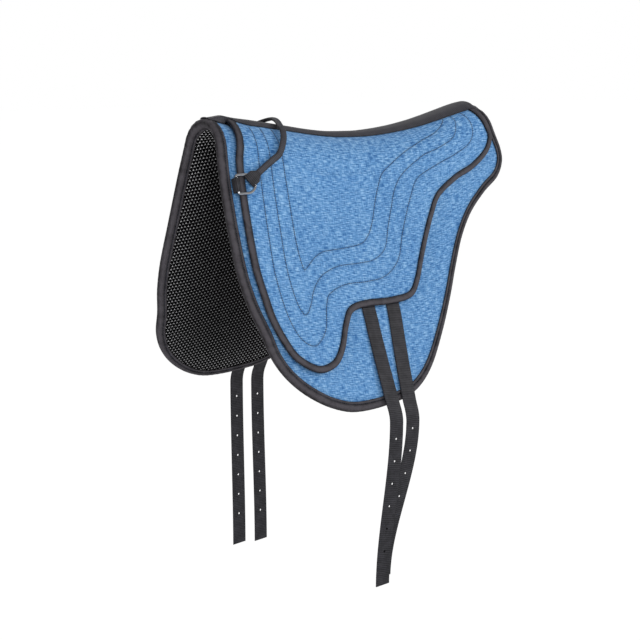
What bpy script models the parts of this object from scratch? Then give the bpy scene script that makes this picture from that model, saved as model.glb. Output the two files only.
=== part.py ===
"""Bareback riding pad: a padded saddle pad with girth straps and a grab strap.

Metres, +Z up, +X towards the horse's tail, -Y the horse's left side.
The origin is the underside of the pad at the lowest point of its ridge,
where the horse's spine carries it. The pad is drawn on the form of a
horse's back: a place on it is x along the spine, the distance down from
the ridge along the inside of the pad, and the lift outwards from there.
"""

import math

import bmesh
import bpy
from mathutils import Matrix, Vector

# Form of the back that the pad lies on
RIDGE_FRONT_REACH = 0.300
RIDGE_REAR_REACH = 0.322
RIDGE_FRONT_RISE = 0.038
RIDGE_REAR_RISE = 0.055
DATUM_DEPTH = 0.150
DATUM_HALF_WIDTH = 0.0975
DATUM_SLOPE = math.radians(20.7)
FLARE_RADIUS = 2.100
RIDGE_ZONE = 0.090
RIDGE_FRONT_SHARES = (
    (0.0, 0.0), (0.12, 0.03), (0.27, 0.16), (0.41, 0.33), (0.67, 0.64), (0.82, 0.80), (1.0, 1.12),
)
RIDGE_REAR_SHARES = (
    (0.0, 0.0), (0.14, 0.01), (0.34, 0.13), (0.52, 0.32),
    (0.65, 0.51), (0.76, 0.69), (0.88, 0.88), (1.0, 1.0),
)

# Thicknesses and clearances, from the horse outwards
LAYER_GAP = 0.0004
HALF_SEAM = 0.0002
LINING_THICKNESS = 0.003
FOAM_THICKNESS = 0.008
COVER_THICKNESS = 0.0012
WEB_CLEARANCE = 0.0010
WEB_THICKNESS = 0.0018
SEAT_CLEARANCE = 0.0008
SEAT_FOAM_THICKNESS = 0.003
QUILT_THICKNESS = 0.0014
QUILT_CROWN = 0.0062
QUILT_RIDGE_HEIGHT = 0.0008
TAPE_THICKNESS = 0.0013
STRIP_THICKNESS = 0.0016
STRIP_CLEARANCE = 0.0012

# Base pad
PAD_LENGTH = 0.655
FLAP_DROP = 0.543
BASE_TAPE_WIDTH = 0.016
RIDGE_END_MARGIN = 0.012
FLANK_ROWS = 4
RIDGE_ROWS = 4

# Seat panel, quilted on top of the base pad
SEAT_LENGTH_SHARE = 0.84733
SEAT_LENGTH = PAD_LENGTH * SEAT_LENGTH_SHARE
SEAT_DROP = 0.470
SEAT_TAPE_WIDTH = 0.012
SEAT_FLANK_ROWS = 1
SEAT_RIDGE_ROWS = 4

# Spine strip
STRIP_WIDTH = 0.048
STRIP_END_MARGIN = 0.004
STRIP_RAMP_SHARE = 0.85
STRIP_STEP = 0.026

# Ring at each shoulder, and what ties it
RING_DROP = 0.1352
RING_EDGE_LEAD = 0.0141
RING_LIFT = 0.0283
RING_TILT = math.radians(8.0)
RING_WIRE = 0.005
RING_RADIUS = 0.017
RING_REACH = 0.018
RING_CORNER = 0.004
RING_SIDES = 8
KEEPER_WIDTH = 0.024
KEEPER_WEB = 0.0015
KEEPER_TAIL = 0.024
WIRE_CLEARANCE = 0.0004

# Grab strap
GRAB_WIDTH = 0.012
GRAB_THICKNESS = 0.006
GRAB_LOOP_WIDTH = 0.025
GRAB_LOOP_REACH = 0.0148
GRAB_LOOP_SLACK = 0.007
GRAB_ANGLE = math.radians(33.5)
GRAB_CREST_X = 0.150
GRAB_CREST_LIFT = 0.0362
GRAB_LEG_LIFT = 0.0340
GRAB_ROUTE_SHARES = (
    (0.196, 0.805), (0.385, 0.695), (0.553, 0.587), (0.700, 0.470), (0.800, 0.366), (0.863, 0.259),
)

# Girth straps
BILLET_WIDTH = 0.030
BILLET_ROOT_DROP = 0.160
WEB_TOP = 0.004
BILLET_EDGE_LIFT = 0.0159
BILLET_HANG_DROP = 0.345
BILLET_BEND = 0.050
BILLET_STACK_GAP = 0.0008
HOLE_PITCH = 0.040
HOLE_DIAMETER = 0.0040
HOLE_END_MARGIN = 0.063
LEFT_FRONT_HANG = 0.291
LEFT_REAR_HANG = 0.275
RIGHT_HANG = 0.331
TIP_SLANT = 0.004

# Outlines run from the front of the ridge down and round to its rear
BASE_OUTLINE_SHARES = (
    (-0.458, 0.0), (-0.464, 0.11), (-0.472, 0.24), (-0.476, 0.405), (-0.476, 0.55),
    (-0.466, 0.655), (-0.447, 0.745), (-0.434, 0.825), (-0.405, 0.89), (-0.354, 0.947),
    (-0.290, 0.987), (-0.214, 1.0), (-0.092, 0.969), (0.0, 0.93), (0.076, 0.858),
    (0.150, 0.748), (0.214, 0.635), (0.263, 0.536), (0.313, 0.444), (0.368, 0.374),
    (0.434, 0.322), (0.495, 0.280), (0.524, 0.232), (0.528, 0.184), (0.516, 0.12), (0.492, 0.0),
)
BASE_STEPS = (3, 3) + (1,) * 20 + (1, 1, 3)
SEAT_OUTLINE_SHARES = (
    (-0.454, 0.0), (-0.469, 0.093), (-0.489, 0.187), (-0.499, 0.337), (-0.505, 0.502),
    (-0.507, 0.616), (-0.499, 0.722), (-0.49, 0.81), (-0.467, 0.894), (-0.437, 0.957),
    (-0.37, 1.0), (-0.304, 0.974), (-0.259, 0.91), (-0.219, 0.812), (-0.181, 0.748),
    (-0.109, 0.721), (-0.01, 0.712), (0.071, 0.694), (0.113, 0.64), (0.152, 0.557),
    (0.197, 0.466), (0.239, 0.389), (0.287, 0.32), (0.377, 0.274), (0.462, 0.253),
    (0.531, 0.213), (0.563, 0.157), (0.553, 0.101), (0.501, 0.0),
)
OUTER_STITCH_SHARES = (
    (-0.406, 0.0), (-0.411, 0.093), (-0.418, 0.187), (-0.427, 0.337), (-0.436, 0.498),
    (-0.442, 0.604), (-0.44, 0.701), (-0.433, 0.782), (-0.418, 0.85), (-0.394, 0.893),
    (-0.36, 0.906), (-0.324, 0.873), (-0.298, 0.825), (-0.277, 0.744), (-0.253, 0.693),
    (-0.181, 0.649), (-0.091, 0.633), (-0.01, 0.611), (0.055, 0.549), (0.095, 0.452),
    (0.129, 0.377), (0.167, 0.302), (0.21, 0.236), (0.305, 0.201), (0.395, 0.182),
    (0.462, 0.16), (0.489, 0.123), (0.488, 0.078), (0.448, 0.0),
)
MIDDLE_STITCH_SHARES = (
    (-0.363, 0.0), (-0.369, 0.093), (-0.373, 0.187), (-0.38, 0.317), (-0.386, 0.453),
    (-0.391, 0.541), (-0.393, 0.636), (-0.386, 0.733), (-0.375, 0.771), (-0.368, 0.782),
    (-0.354, 0.773), (-0.334, 0.737), (-0.312, 0.684), (-0.281, 0.636), (-0.25, 0.607),
    (-0.19, 0.575), (-0.109, 0.559), (-0.037, 0.541), (0.012, 0.498), (0.044, 0.414),
    (0.073, 0.341), (0.105, 0.264), (0.152, 0.206), (0.242, 0.156), (0.332, 0.139),
    (0.396, 0.122), (0.425, 0.095), (0.436, 0.062), (0.4, 0.0),
)
INNER_STITCH_SHARES = (
    (-0.32, 0.0), (-0.322, 0.092), (-0.325, 0.187), (-0.328, 0.295), (-0.332, 0.402),
    (-0.335, 0.466), (-0.335, 0.53), (-0.333, 0.572), (-0.33, 0.596), (-0.326, 0.6),
    (-0.317, 0.592), (-0.299, 0.572), (-0.281, 0.551), (-0.263, 0.536), (-0.238, 0.521),
    (-0.19, 0.509), (-0.127, 0.493), (-0.073, 0.474), (-0.037, 0.432), (-0.01, 0.373),
    (0.013, 0.308), (0.037, 0.25), (0.071, 0.19), (0.162, 0.14), (0.262, 0.108),
    (0.336, 0.091), (0.382, 0.069), (0.4, 0.045), (0.364, 0.0),
)
SEAT_STEPS = (3, 3) + (1,) * 23 + (2, 2, 3)

# Centre of each girth strap along the spine, down its length, as shares
# of the pad's length: at the seat's edge, at the flap's edge and at the tip
LEFT_FRONT_SHARES = (-0.088, -0.107, -0.153)
LEFT_REAR_SHARES = (-0.003, -0.048, -0.146)
RIGHT_FRONT_SHARES = (-0.088, -0.085, -0.078)
RIGHT_REAR_SHARES = (-0.006, -0.009, 0.0015)

LEFT = -1
RIGHT = 1
SIDES = {"left": LEFT, "right": RIGHT}

# Lifts of each layer's underside and top, worked out from the horse outwards
FOAM_BOTTOM = LINING_THICKNESS + LAYER_GAP
FOAM_TOP = FOAM_BOTTOM + FOAM_THICKNESS
COVER_BOTTOM = FOAM_TOP + LAYER_GAP
COVER_TOP = COVER_BOTTOM + COVER_THICKNESS
WEB_BOTTOM = COVER_TOP + WEB_CLEARANCE
WEB_OUTSIDE = WEB_BOTTOM + WEB_THICKNESS
SEAT_TAPE_BOTTOM = WEB_OUTSIDE + SEAT_CLEARANCE
SEAT_FOAM_BOTTOM = SEAT_TAPE_BOTTOM + TAPE_THICKNESS + LAYER_GAP
SEAT_FOAM_TOP = SEAT_FOAM_BOTTOM + SEAT_FOAM_THICKNESS
QUILT_BOTTOM = SEAT_FOAM_TOP + LAYER_GAP
QUILT_EDGE = QUILT_BOTTOM + QUILT_THICKNESS
SEAT_TAPE_TOP = QUILT_EDGE + LAYER_GAP + TAPE_THICKNESS
BASE_TAPE_TOP = COVER_TOP + LAYER_GAP + TAPE_THICKNESS
STRIP_ON_SEAT = SEAT_TAPE_TOP + STRIP_CLEARANCE
STRIP_ON_BASE = BASE_TAPE_TOP + STRIP_CLEARANCE

MATERIALS = {
    "denim_blue": ((0.165, 0.255, 0.400), 0.85, 0.0),
    "spacer_mesh_black": ((0.020, 0.020, 0.022), 0.80, 0.0),
    "foam_grey": ((0.300, 0.300, 0.310), 0.95, 0.0),
    "webbing_black": ((0.016, 0.016, 0.018), 0.60, 0.0),
    "binding_black": ((0.012, 0.012, 0.014), 0.65, 0.0),
    "steel_chrome": ((0.780, 0.790, 0.800), 0.12, 1.0),
}


def material(name):
    """Return the part's material of this name, made on first use."""
    found = bpy.data.materials.get(name)
    if found:
        return found
    colour, roughness, metallic = MATERIALS[name]
    made = bpy.data.materials.new(name)
    made.use_nodes = True
    shader = made.node_tree.nodes["Principled BSDF"]
    shader.inputs["Base Color"].default_value = (*colour, 1.0)
    shader.inputs["Roughness"].default_value = roughness
    shader.inputs["Metallic"].default_value = metallic
    return made


def table_value(table, where):
    """Read a smooth curve through a table of (where, value) pairs."""
    last = len(table) - 2
    index = 0
    while index < last and where > table[index + 1][0]:
        index += 1

    def slope(knot):
        low = max(knot - 1, 0)
        high = min(knot + 1, len(table) - 1)
        return (table[high][1] - table[low][1]) / (table[high][0] - table[low][0])

    (x0, y0), (x1, y1) = table[index], table[index + 1]
    span = x1 - x0
    if where > x1:
        return y1 + slope(index + 1) * (where - x1)
    t = (where - x0) / span
    rise = (1 + 2 * t) * (1 - t) ** 2 * y0 + t * t * (3 - 2 * t) * y1
    lean = t * (1 - t) ** 2 * slope(index) - t * t * (1 - t) * slope(index + 1)
    return rise + lean * span


def ridge_height(x):
    """Height of the underside of the ridge at x."""
    if x < 0:
        return RIDGE_FRONT_RISE * table_value(RIDGE_FRONT_SHARES, -x / RIDGE_FRONT_REACH)
    return RIDGE_REAR_RISE * table_value(RIDGE_REAR_SHARES, x / RIDGE_REAR_REACH)


def back_section(x):
    """Round ridge and flared flank at x: centre height, radius, tangent angle."""
    top = ridge_height(x)
    flank_y = DATUM_HALF_WIDTH + FLARE_RADIUS * math.cos(DATUM_SLOPE)
    flank_z = -DATUM_DEPTH + FLARE_RADIUS * math.sin(DATUM_SLOPE)
    reach = FLARE_RADIUS + top
    centre = (flank_y ** 2 + flank_z ** 2 - reach ** 2) / (2 * (flank_z - reach))
    radius = top - centre
    tangent = math.atan2(flank_z - centre, flank_y)
    return centre, radius, tangent, flank_y, flank_z


def pad_point(x, drop, lift, side):
    """Place on the pad: x along the spine, drop from the ridge, lift outwards."""
    centre, radius, tangent, flank_y, flank_z = back_section(x)
    arc = radius * (math.pi / 2 - tangent)
    if drop <= arc:
        angle = drop / radius
        y = (radius + lift) * math.sin(angle)
        z = centre + (radius + lift) * math.cos(angle)
    else:
        angle = tangent + (drop - arc) / FLARE_RADIUS
        y = flank_y - (FLARE_RADIUS - lift) * math.cos(angle)
        z = flank_z - (FLARE_RADIUS - lift) * math.sin(angle)
    return Vector((x, side * y, z))


def half_point(x, drop, lift, side):
    """Place on one half of the pad, kept off the seam between the halves."""
    point = pad_point(x, drop, lift, side)
    if abs(point.y) < 2 * HALF_SEAM:
        point.y = side * HALF_SEAM
    return point


def ridge_to_datum(x):
    """Distance down the inside of the pad from the ridge to the datum line."""
    _, radius, tangent, _, _ = back_section(x)
    return radius * (math.pi / 2 - tangent) - FLARE_RADIUS * (tangent - DATUM_SLOPE)


def outward(x, drop, side):
    """Unit normal of the pad at a place, pointing away from the horse."""
    step = LAYER_GAP
    return (pad_point(x, drop, step, side) - pad_point(x, drop, 0, side)).normalized()


def smooth_path(points, steps):
    """Read a smooth curve through the points, with so many steps a segment."""
    count = len(points)
    knots = [0.0]
    for first, second in zip(points, points[1:]):
        knots.append(knots[-1] + math.sqrt((second - first).length))
    tangents = []
    for index in range(count):
        before = max(index - 1, 0)
        after = min(index + 1, count - 1)
        tangents.append((points[after] - points[before]) / (knots[after] - knots[before]))
    path = [points[0].copy()]
    for index in range(count - 1):
        span = knots[index + 1] - knots[index]
        for step in range(1, steps[index] + 1):
            t = step / steps[index]
            path.append(
                points[index] * (1 + 2 * t) * (1 - t) ** 2
                + points[index + 1] * t * t * (3 - 2 * t)
                + tangents[index] * span * t * (1 - t) ** 2
                - tangents[index + 1] * span * t * t * (1 - t)
            )
    return path


def even_path(points, steps):
    """Read straight lines through the points, with so many steps a segment."""
    path = [points[0].copy()]
    for first, second, count in zip(points, points[1:], steps):
        path += [first.lerp(second, step / count) for step in range(1, count + 1)]
    return path


def outline(shares, length, drop, steps):
    """Outline on one half of the pad, as (x, drop) vectors."""
    corners = [Vector((x_share * length, drop_share * drop)) for x_share, drop_share in shares]
    path = smooth_path(corners, steps)
    path[0].y = 0
    path[-1].y = 0
    return path


def inward_normals(path):
    """Unit vectors square to the outline, pointing into the pad."""
    normals = []
    for index in range(len(path)):
        along = path[min(index + 1, len(path) - 1)] - path[max(index - 1, 0)]
        normals.append(Vector((along.y, -along.x)).normalized())
    normals[0] = Vector((1, 0))
    normals[-1] = Vector((-1, 0))
    return normals


def inset(path, distance):
    """Outline moved into the pad by a distance."""
    return [point + normal * distance for point, normal in zip(path, inward_normals(path))]


def ridge_feet(path, margin):
    """Places on the ridge that the outline's points are drawn towards."""
    travel = [0.0]
    for first, second in zip(path, path[1:]):
        travel.append(travel[-1] + (second - first).length)
    start = path[0].x + margin
    end = path[-1].x - margin
    return [Vector((start + (end - start) * place / travel[-1], 0)) for place in travel]


def rows_to_ridge(path, feet, flank_rows, ridge_rows):
    """Rows between an outline and the ridge, close together where it is round."""
    rows = [path]
    total = flank_rows + ridge_rows
    for row in range(1, total + 1):
        line = []
        for point, foot in zip(path, feet):
            knee = min(RIDGE_ZONE, point.y * ridge_rows / total)
            if row <= flank_rows:
                drop = point.y + (knee - point.y) * row / flank_rows
            else:
                drop = knee * (total - row) / ridge_rows
            share = 1 - drop / point.y if point.y > 0 else row / total
            line.append(Vector((point.x + (foot.x - point.x) * share, drop)))
        rows.append(line)
    return rows


def new_object(name, mesh, finish):
    """Link a mesh as the named object, with its material."""
    mesh.materials.append(material(finish))
    made = bpy.data.objects.new(name, mesh)
    bpy.context.scene.collection.objects.link(made)
    return made


def finish_mesh(name, bm, finish):
    """Close, orient and link a bmesh."""
    bmesh.ops.recalc_face_normals(bm, faces=bm.faces)
    mesh = bpy.data.meshes.new(name)
    bm.to_mesh(mesh)
    bm.free()
    return new_object(name, mesh, finish)


def grid_solid(name, top, bottom, finish):
    """Closed solid between a top grid and a bottom grid of rows.

    The first rows meet along the outline. The other sides of both grids lie
    in the plane of the spine and are closed by one flat face.
    """
    bm = bmesh.new()

    def add_rows(rows):
        return [[bm.verts.new(point) for point in row] for row in rows]

    def add_quads(rows):
        for row, below in zip(rows, rows[1:]):
            for column in range(len(row) - 1):
                bm.faces.new((row[column], row[column + 1], below[column + 1], below[column]))

    top_rows, bottom_rows = add_rows(top), add_rows(bottom)
    add_quads(top_rows)
    add_quads(bottom_rows)
    add_quads([top_rows[0], bottom_rows[0]])

    def spine_side(rows):
        return [row[0] for row in rows] + rows[-1][1:-1] + [row[-1] for row in reversed(rows)]

    bm.faces.new(spine_side(top_rows) + list(reversed(spine_side(bottom_rows))))
    return finish_mesh(name, bm, finish)


def swept_solid(name, rings, finish, closed=False):
    """Closed solid through rings of points, capped unless it closes on itself."""
    bm = bmesh.new()
    loops = [[bm.verts.new(point) for point in ring] for ring in rings]
    pairs = list(zip(loops, loops[1:]))
    if closed:
        pairs.append((loops[-1], loops[0]))
    for first, second in pairs:
        for index in range(len(first)):
            after = (index + 1) % len(first)
            bm.faces.new((first[index], first[after], second[after], second[index]))
    if not closed:
        bm.faces.new(loops[0])
        bm.faces.new(loops[-1])
    return finish_mesh(name, bm, finish)


def on_half(rows, lift, side):
    """Lift rows of (x, drop) places off the horse, on one half of the pad."""
    return [[half_point(place.x, place.y, lift, side) for place in row] for row in rows]


def base_layers(side_name, side):
    """Mesh lining, foam core and woven cover of one half of the base pad."""
    edge = outline(BASE_OUTLINE_SHARES, PAD_LENGTH, FLAP_DROP, BASE_STEPS)
    layer_edge = inset(edge, TAPE_THICKNESS + LAYER_GAP)
    tape_line = inset(edge, BASE_TAPE_WIDTH + LAYER_GAP)
    feet = ridge_feet(tape_line, RIDGE_END_MARGIN)
    rows = [layer_edge] + rows_to_ridge(tape_line, feet, FLANK_ROWS, RIDGE_ROWS)
    layers = (
        ("mesh_lining", 0, LINING_THICKNESS, "spacer_mesh_black"),
        ("foam_core", FOAM_BOTTOM, FOAM_TOP, "foam_grey"),
        ("base_cover", COVER_BOTTOM, COVER_TOP, "denim_blue"),
    )
    for name, low, high, finish in layers:
        grid_solid(f"{side_name}_{name}", on_half(rows, high, side), on_half(rows, low, side), finish)


def tape_rings(path, outer, inner, low, high, side):
    """U section of a binding tape: outer and inner reach, low and high lift."""
    normals = inward_normals(path)
    wall = TAPE_THICKNESS
    section = (
        (inner, high), (-outer, high), (-outer, low), (inner, low),
        (inner, low + wall), (wall - outer, low + wall), (wall - outer, high - wall), (inner, high - wall),
    )
    rings = []
    for place, normal in zip(path, normals):
        ring = []
        for reach, lift in section:
            spot = place + normal * reach
            ring.append(half_point(spot.x, max(spot.y, 0), lift, side))
        rings.append(ring)
    return rings


def base_binding(side_name, side):
    """Binding tape folded round the edge of one half of the base pad."""
    edge = outline(BASE_OUTLINE_SHARES, PAD_LENGTH, FLAP_DROP, BASE_STEPS)
    low = -LAYER_GAP - TAPE_THICKNESS
    rings = tape_rings(edge, 0, BASE_TAPE_WIDTH, low, BASE_TAPE_TOP, side)
    swept_solid(f"{side_name}_base_binding", rings, "binding_black")


def seat_curves():
    """Outline of the seat panel and its three stitch lines, matched point by point."""
    tables = (SEAT_OUTLINE_SHARES, OUTER_STITCH_SHARES, MIDDLE_STITCH_SHARES, INNER_STITCH_SHARES)
    return [outline(table, SEAT_LENGTH, SEAT_DROP, SEAT_STEPS) for table in tables]


def between(first, second, share):
    """Line of places part of the way from one line to another."""
    return [a.lerp(b, share) for a, b in zip(first, second)]


def crown_height(place, fullness):
    """Top of the quilt at a place: puffed between stitches, flat under the strip."""
    away = (place.y - STRIP_WIDTH / 2) / (STRIP_WIDTH / 2)
    rise = min(max(away, 0), 1)
    low = QUILT_EDGE + QUILT_RIDGE_HEIGHT * min(fullness * 4, 1)
    high = QUILT_EDGE + QUILT_CROWN * fullness
    return low + (high - low) * rise


def seat_panel(side_name, side):
    """Seat foam and quilted cover of one half: crowned channels between stitches."""
    edge, outer, middle, inner = seat_curves()
    rim = inset(edge, TAPE_THICKNESS + LAYER_GAP - SEAT_TAPE_WIDTH / 2)
    tape_line = inset(edge, SEAT_TAPE_WIDTH / 2 + LAYER_GAP)
    feet = ridge_feet(inner, RIDGE_END_MARGIN)
    centre = rows_to_ridge(inner, feet, SEAT_FLANK_ROWS, SEAT_RIDGE_ROWS)
    flat_rows = [rim, tape_line, outer, inner] + centre[1:]
    grid_solid(
        f"{side_name}_seat_foam",
        on_half(flat_rows, SEAT_FOAM_TOP, side),
        on_half(flat_rows, SEAT_FOAM_BOTTOM, side),
        "foam_grey",
    )
    crowned = [
        (rim, 0.0), (tape_line, 0.0),
        (between(tape_line, outer, 0.35), 0.85), (between(tape_line, outer, 0.75), 0.85), (outer, 0.1),
        (between(outer, middle, 0.5), 0.95), (middle, 0.1),
        (between(middle, inner, 0.5), 0.95), (inner, 0.1),
    ]
    crowned += [(row, 0.9) for row in centre[1:]]
    top = []
    for row, fullness in crowned:
        top.append([half_point(place.x, place.y, crown_height(place, fullness), side) for place in row])
    grid_solid(f"{side_name}_seat_quilt", top, on_half(flat_rows, QUILT_BOTTOM, side), "denim_blue")


def seat_binding(side_name, side):
    """Binding tape folded round the edge of one half of the seat panel."""
    edge = seat_curves()[0]
    reach = SEAT_TAPE_WIDTH / 2
    rings = tape_rings(edge, reach, reach, SEAT_TAPE_BOTTOM, SEAT_TAPE_TOP, side)
    swept_solid(f"{side_name}_seat_binding", rings, "binding_black")


def seat_reach(drop):
    """Front and rear x of the seat's outline at a distance down from the ridge."""
    edge = seat_curves()[0]
    for first, second in zip(edge, edge[1:]):
        if first.y <= drop < second.y:
            front = first.lerp(second, (drop - first.y) / (second.y - first.y)).x
        if first.y > drop >= second.y:
            rear = first.lerp(second, (drop - first.y) / (second.y - first.y)).x
    return front, rear


def seat_walls():
    """Front and rear x of the seat's bound edge, where the spine strip's edge crosses it."""
    front, rear = seat_reach(STRIP_WIDTH / 2)
    clear = SEAT_TAPE_WIDTH / 2 + STRIP_CLEARANCE
    return front - clear, rear + clear


def spine_strip():
    """Webbing strip sewn along the ridge, over the seam between the halves.

    It lies on the base at both ends and ramps up to the seat between them.
    """
    start = BASE_OUTLINE_SHARES[0][0] * PAD_LENGTH + STRIP_END_MARGIN
    end = BASE_OUTLINE_SHARES[-1][0] * PAD_LENGTH - STRIP_END_MARGIN
    front_wall, rear_wall = seat_walls()
    front_foot = front_wall + (start - front_wall) * STRIP_RAMP_SHARE
    rear_foot = rear_wall + (end - rear_wall) * STRIP_RAMP_SHARE
    count = math.ceil((rear_wall - front_wall) / STRIP_STEP)
    stations = [(start, STRIP_ON_BASE), (front_foot, STRIP_ON_BASE)]
    for index in range(count + 1):
        stations.append((front_wall + (rear_wall - front_wall) * index / count, STRIP_ON_SEAT))
    stations += [(rear_foot, STRIP_ON_BASE), (end, STRIP_ON_BASE)]
    shares = (-1.0, -0.5, 0.0, 0.5, 1.0)
    places = [(abs(share) * STRIP_WIDTH / 2, math.copysign(1, share)) for share in shares]
    rings = []
    for x, low in stations:
        bottom = [pad_point(x, drop, low, side) for drop, side in places]
        top = [pad_point(x, drop, low + STRIP_THICKNESS, side) for drop, side in reversed(places)]
        rings.append(bottom + top)
    swept_solid("spine_strip", rings, "webbing_black")


class RingSeat:
    """Local frame of one shoulder ring: bar centre, and rear, down and out axes."""

    def __init__(self, side):
        x = seat_reach(RING_DROP)[0] - RING_EDGE_LEAD
        self.bar = pad_point(x, RING_DROP, RING_LIFT, side)
        self.normal = outward(x, RING_DROP, side)
        below = pad_point(x, RING_DROP + LAYER_GAP, 0, side)
        self.down = (below - pad_point(x, RING_DROP, 0, side)).normalized()
        along = Vector((1, 0, 0))
        self.rear = along * math.cos(RING_TILT) + self.normal * math.sin(RING_TILT)
        self.out = self.normal * math.cos(RING_TILT) - along * math.sin(RING_TILT)
        self.centre = self.bar + self.rear * RING_REACH

    def on_loop(self, reach, across, height):
        """Point of the grab loop: reach from the ring's centre, across the web, and out."""
        lead = self.rear * math.cos(GRAB_ANGLE) - self.down * math.sin(GRAB_ANGLE)
        sideways = self.rear * math.sin(GRAB_ANGLE) + self.down * math.cos(GRAB_ANGLE)
        return self.centre + lead * reach + sideways * across + self.out * height

    def neck(self, extra):
        """Middle of the grab loop's neck, some way beyond its end."""
        return self.on_loop(RING_RADIUS + GRAB_LOOP_REACH + extra, 0, 0)


def shoulder_ring(side_name, seat):
    """D-shaped ring of round wire: straight bar in its keeper, round arc to the rear."""
    corner = RING_CORNER
    flat = RING_RADIUS - corner
    path = []
    for step in range(3):
        turn = math.pi + math.pi / 2 * step / 2
        path.append((corner + corner * math.cos(turn), -flat + corner * math.sin(turn)))
    arc_steps = 10
    for step in range(arc_steps + 1):
        turn = -math.pi / 2 + math.pi * step / arc_steps
        path.append((RING_REACH + RING_RADIUS * math.cos(turn), RING_RADIUS * math.sin(turn)))
    for step in range(3):
        turn = math.pi / 2 + math.pi / 2 * step / 2
        path.append((corner + corner * math.cos(turn), flat + corner * math.sin(turn)))
    centres = [seat.bar + seat.rear * u + seat.down * v for u, v in path]
    rings = []
    for index, centre in enumerate(centres):
        after = centres[(index + 1) % len(centres)]
        before = centres[index - 1]
        across = (after - before).normalized().cross(seat.out)
        ring = []
        for side_index in range(RING_SIDES):
            turn = 2 * math.pi * side_index / RING_SIDES
            ring.append(centre + (across * math.cos(turn) + seat.out * math.sin(turn)) * RING_WIRE / 2)
        rings.append(ring)
    swept_solid(f"{side_name}_ring", rings, "steel_chrome", closed=True)


def ring_keeper(side_name, seat):
    """Short web folded round the ring's bar, its tail sewn under the seat panel."""
    hole = RING_WIRE / 2 + WIRE_CLEARANCE
    round_reach = hole + KEEPER_WEB
    foot = WEB_BOTTOM - RING_LIFT
    tail_top = foot + WEB_THICKNESS
    outer = []
    arc_steps = 6
    for step in range(arc_steps + 1):
        turn = math.radians(-60.0) + math.radians(300.0) * step / arc_steps
        outer.append((round_reach * math.cos(turn), round_reach * math.sin(turn)))
    stem = round_reach / 2
    outer += [(-stem, foot), (KEEPER_TAIL, foot), (KEEPER_TAIL, tail_top), (stem, tail_top)]
    inner = []
    for step in range(8):
        turn = 2 * math.pi * step / 8
        inner.append((hole * math.cos(turn), hole * math.sin(turn)))
    curve = bpy.data.curves.new(f"{side_name}_ring_keeper", "CURVE")
    curve.dimensions = "2D"
    curve.fill_mode = "BOTH"
    curve.extrude = KEEPER_WIDTH / 2
    for points in (outer, inner):
        spline = curve.splines.new("POLY")
        spline.points.add(len(points) - 1)
        for target, (u, v) in zip(spline.points, points):
            target.co = (u, v, 0, 1)
        spline.use_cyclic_u = True
    keeper = new_object(f"{side_name}_ring_keeper", curve, "webbing_black")
    along = Vector((1, 0, 0))
    across = along.cross(seat.normal)
    turned = Matrix((along, seat.normal, across)).transposed().to_4x4()
    keeper.matrix_world = Matrix.Translation(seat.bar) @ turned


def grab_loop(side_name, seat):
    """End of the grab strap, a fan whose straight fold hangs slack inside the ring's arc."""
    hole = RING_WIRE / 2 + WIRE_CLEARANCE
    round_reach = hole + KEEPER_WEB
    neck_end = RING_RADIUS + GRAB_LOOP_REACH
    count = 8
    rings = []
    for across_share in (-1, 1):
        outer, inner = [], []
        for step in range(count):
            turn = 2 * math.pi * (step + 0.5) / count
            start = RING_RADIUS if math.cos(turn) > 0 else RING_RADIUS - GRAB_LOOP_SLACK
            spot = (start + round_reach * math.cos(turn), round_reach * math.sin(turn))
            if step in (0, count - 1):
                spot = (neck_end, math.copysign(GRAB_THICKNESS / 2, spot[1]))
            outer.append(spot)
            inner.append((start + hole * math.cos(turn), hole * math.sin(turn)))
        placed = []
        for reach, height in outer + inner:
            taper = min(max((reach - RING_RADIUS - round_reach) / (GRAB_LOOP_REACH - round_reach), 0), 1)
            width = GRAB_LOOP_WIDTH + (GRAB_WIDTH - GRAB_LOOP_WIDTH) * taper
            placed.append(seat.on_loop(reach, across_share * width / 2, height))
        rings.append(placed)
    bm = bmesh.new()
    loops = [[bm.verts.new(point) for point in ring] for ring in rings]
    for first, second in zip(loops, loops[1:]):
        for base in (0, count):
            for step in range(count):
                after = base + (step + 1) % count
                bm.faces.new((first[base + step], first[after], second[after], second[base + step]))
    for cap in (loops[0], loops[-1]):
        for step in range(count):
            after = (step + 1) % count
            bm.faces.new((cap[step], cap[after], cap[count + after], cap[count + step]))
    finish_mesh(f"{side_name}_grab_loop", bm, "webbing_black")


def grab_strap(seats):
    """Folded and stitched webbing arched over the withers between both loops."""
    halves = []
    crest = pad_point(-GRAB_CREST_X, 0, GRAB_CREST_LIFT, RIGHT)
    for side in (LEFT, RIGHT):
        seat = seats[side]
        neck = seat.neck(LAYER_GAP)
        lead = seat.neck(GRAB_THICKNESS)
        neck_drop = RING_DROP - (RING_RADIUS + GRAB_LOOP_REACH) * math.sin(GRAB_ANGLE)
        points = [neck, lead]
        normals = [seat.out, seat.out]
        for x_share, climb_share in GRAB_ROUTE_SHARES:
            x = neck.x + (-GRAB_CREST_X - neck.x) * x_share
            drop = neck_drop * climb_share
            points.append(pad_point(x, drop, GRAB_LEG_LIFT, side))
            normals.append(outward(x, drop, side))
        halves.append((points, normals))
    left_points, left_normals = halves[0]
    right_points, right_normals = halves[1]
    points = left_points + [crest] + right_points[::-1]
    normals = left_normals + [Vector((0, 0, 1))] + right_normals[::-1]
    steps = [1, 1] + [2] * (len(points) - 5) + [1, 1]
    path = smooth_path(points, steps)
    facing = even_path(normals, steps)
    rings = []
    for index, centre in enumerate(path):
        along = (path[min(index + 1, len(path) - 1)] - path[max(index - 1, 0)]).normalized()
        across = along.cross(facing[index]).normalized() * GRAB_WIDTH / 2
        up = across.cross(along).normalized() * GRAB_THICKNESS / 2
        rings.append([centre - across - up, centre + across - up, centre + across + up, centre - across + up])
    swept_solid("grab_strap", rings, "webbing_black")


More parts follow.
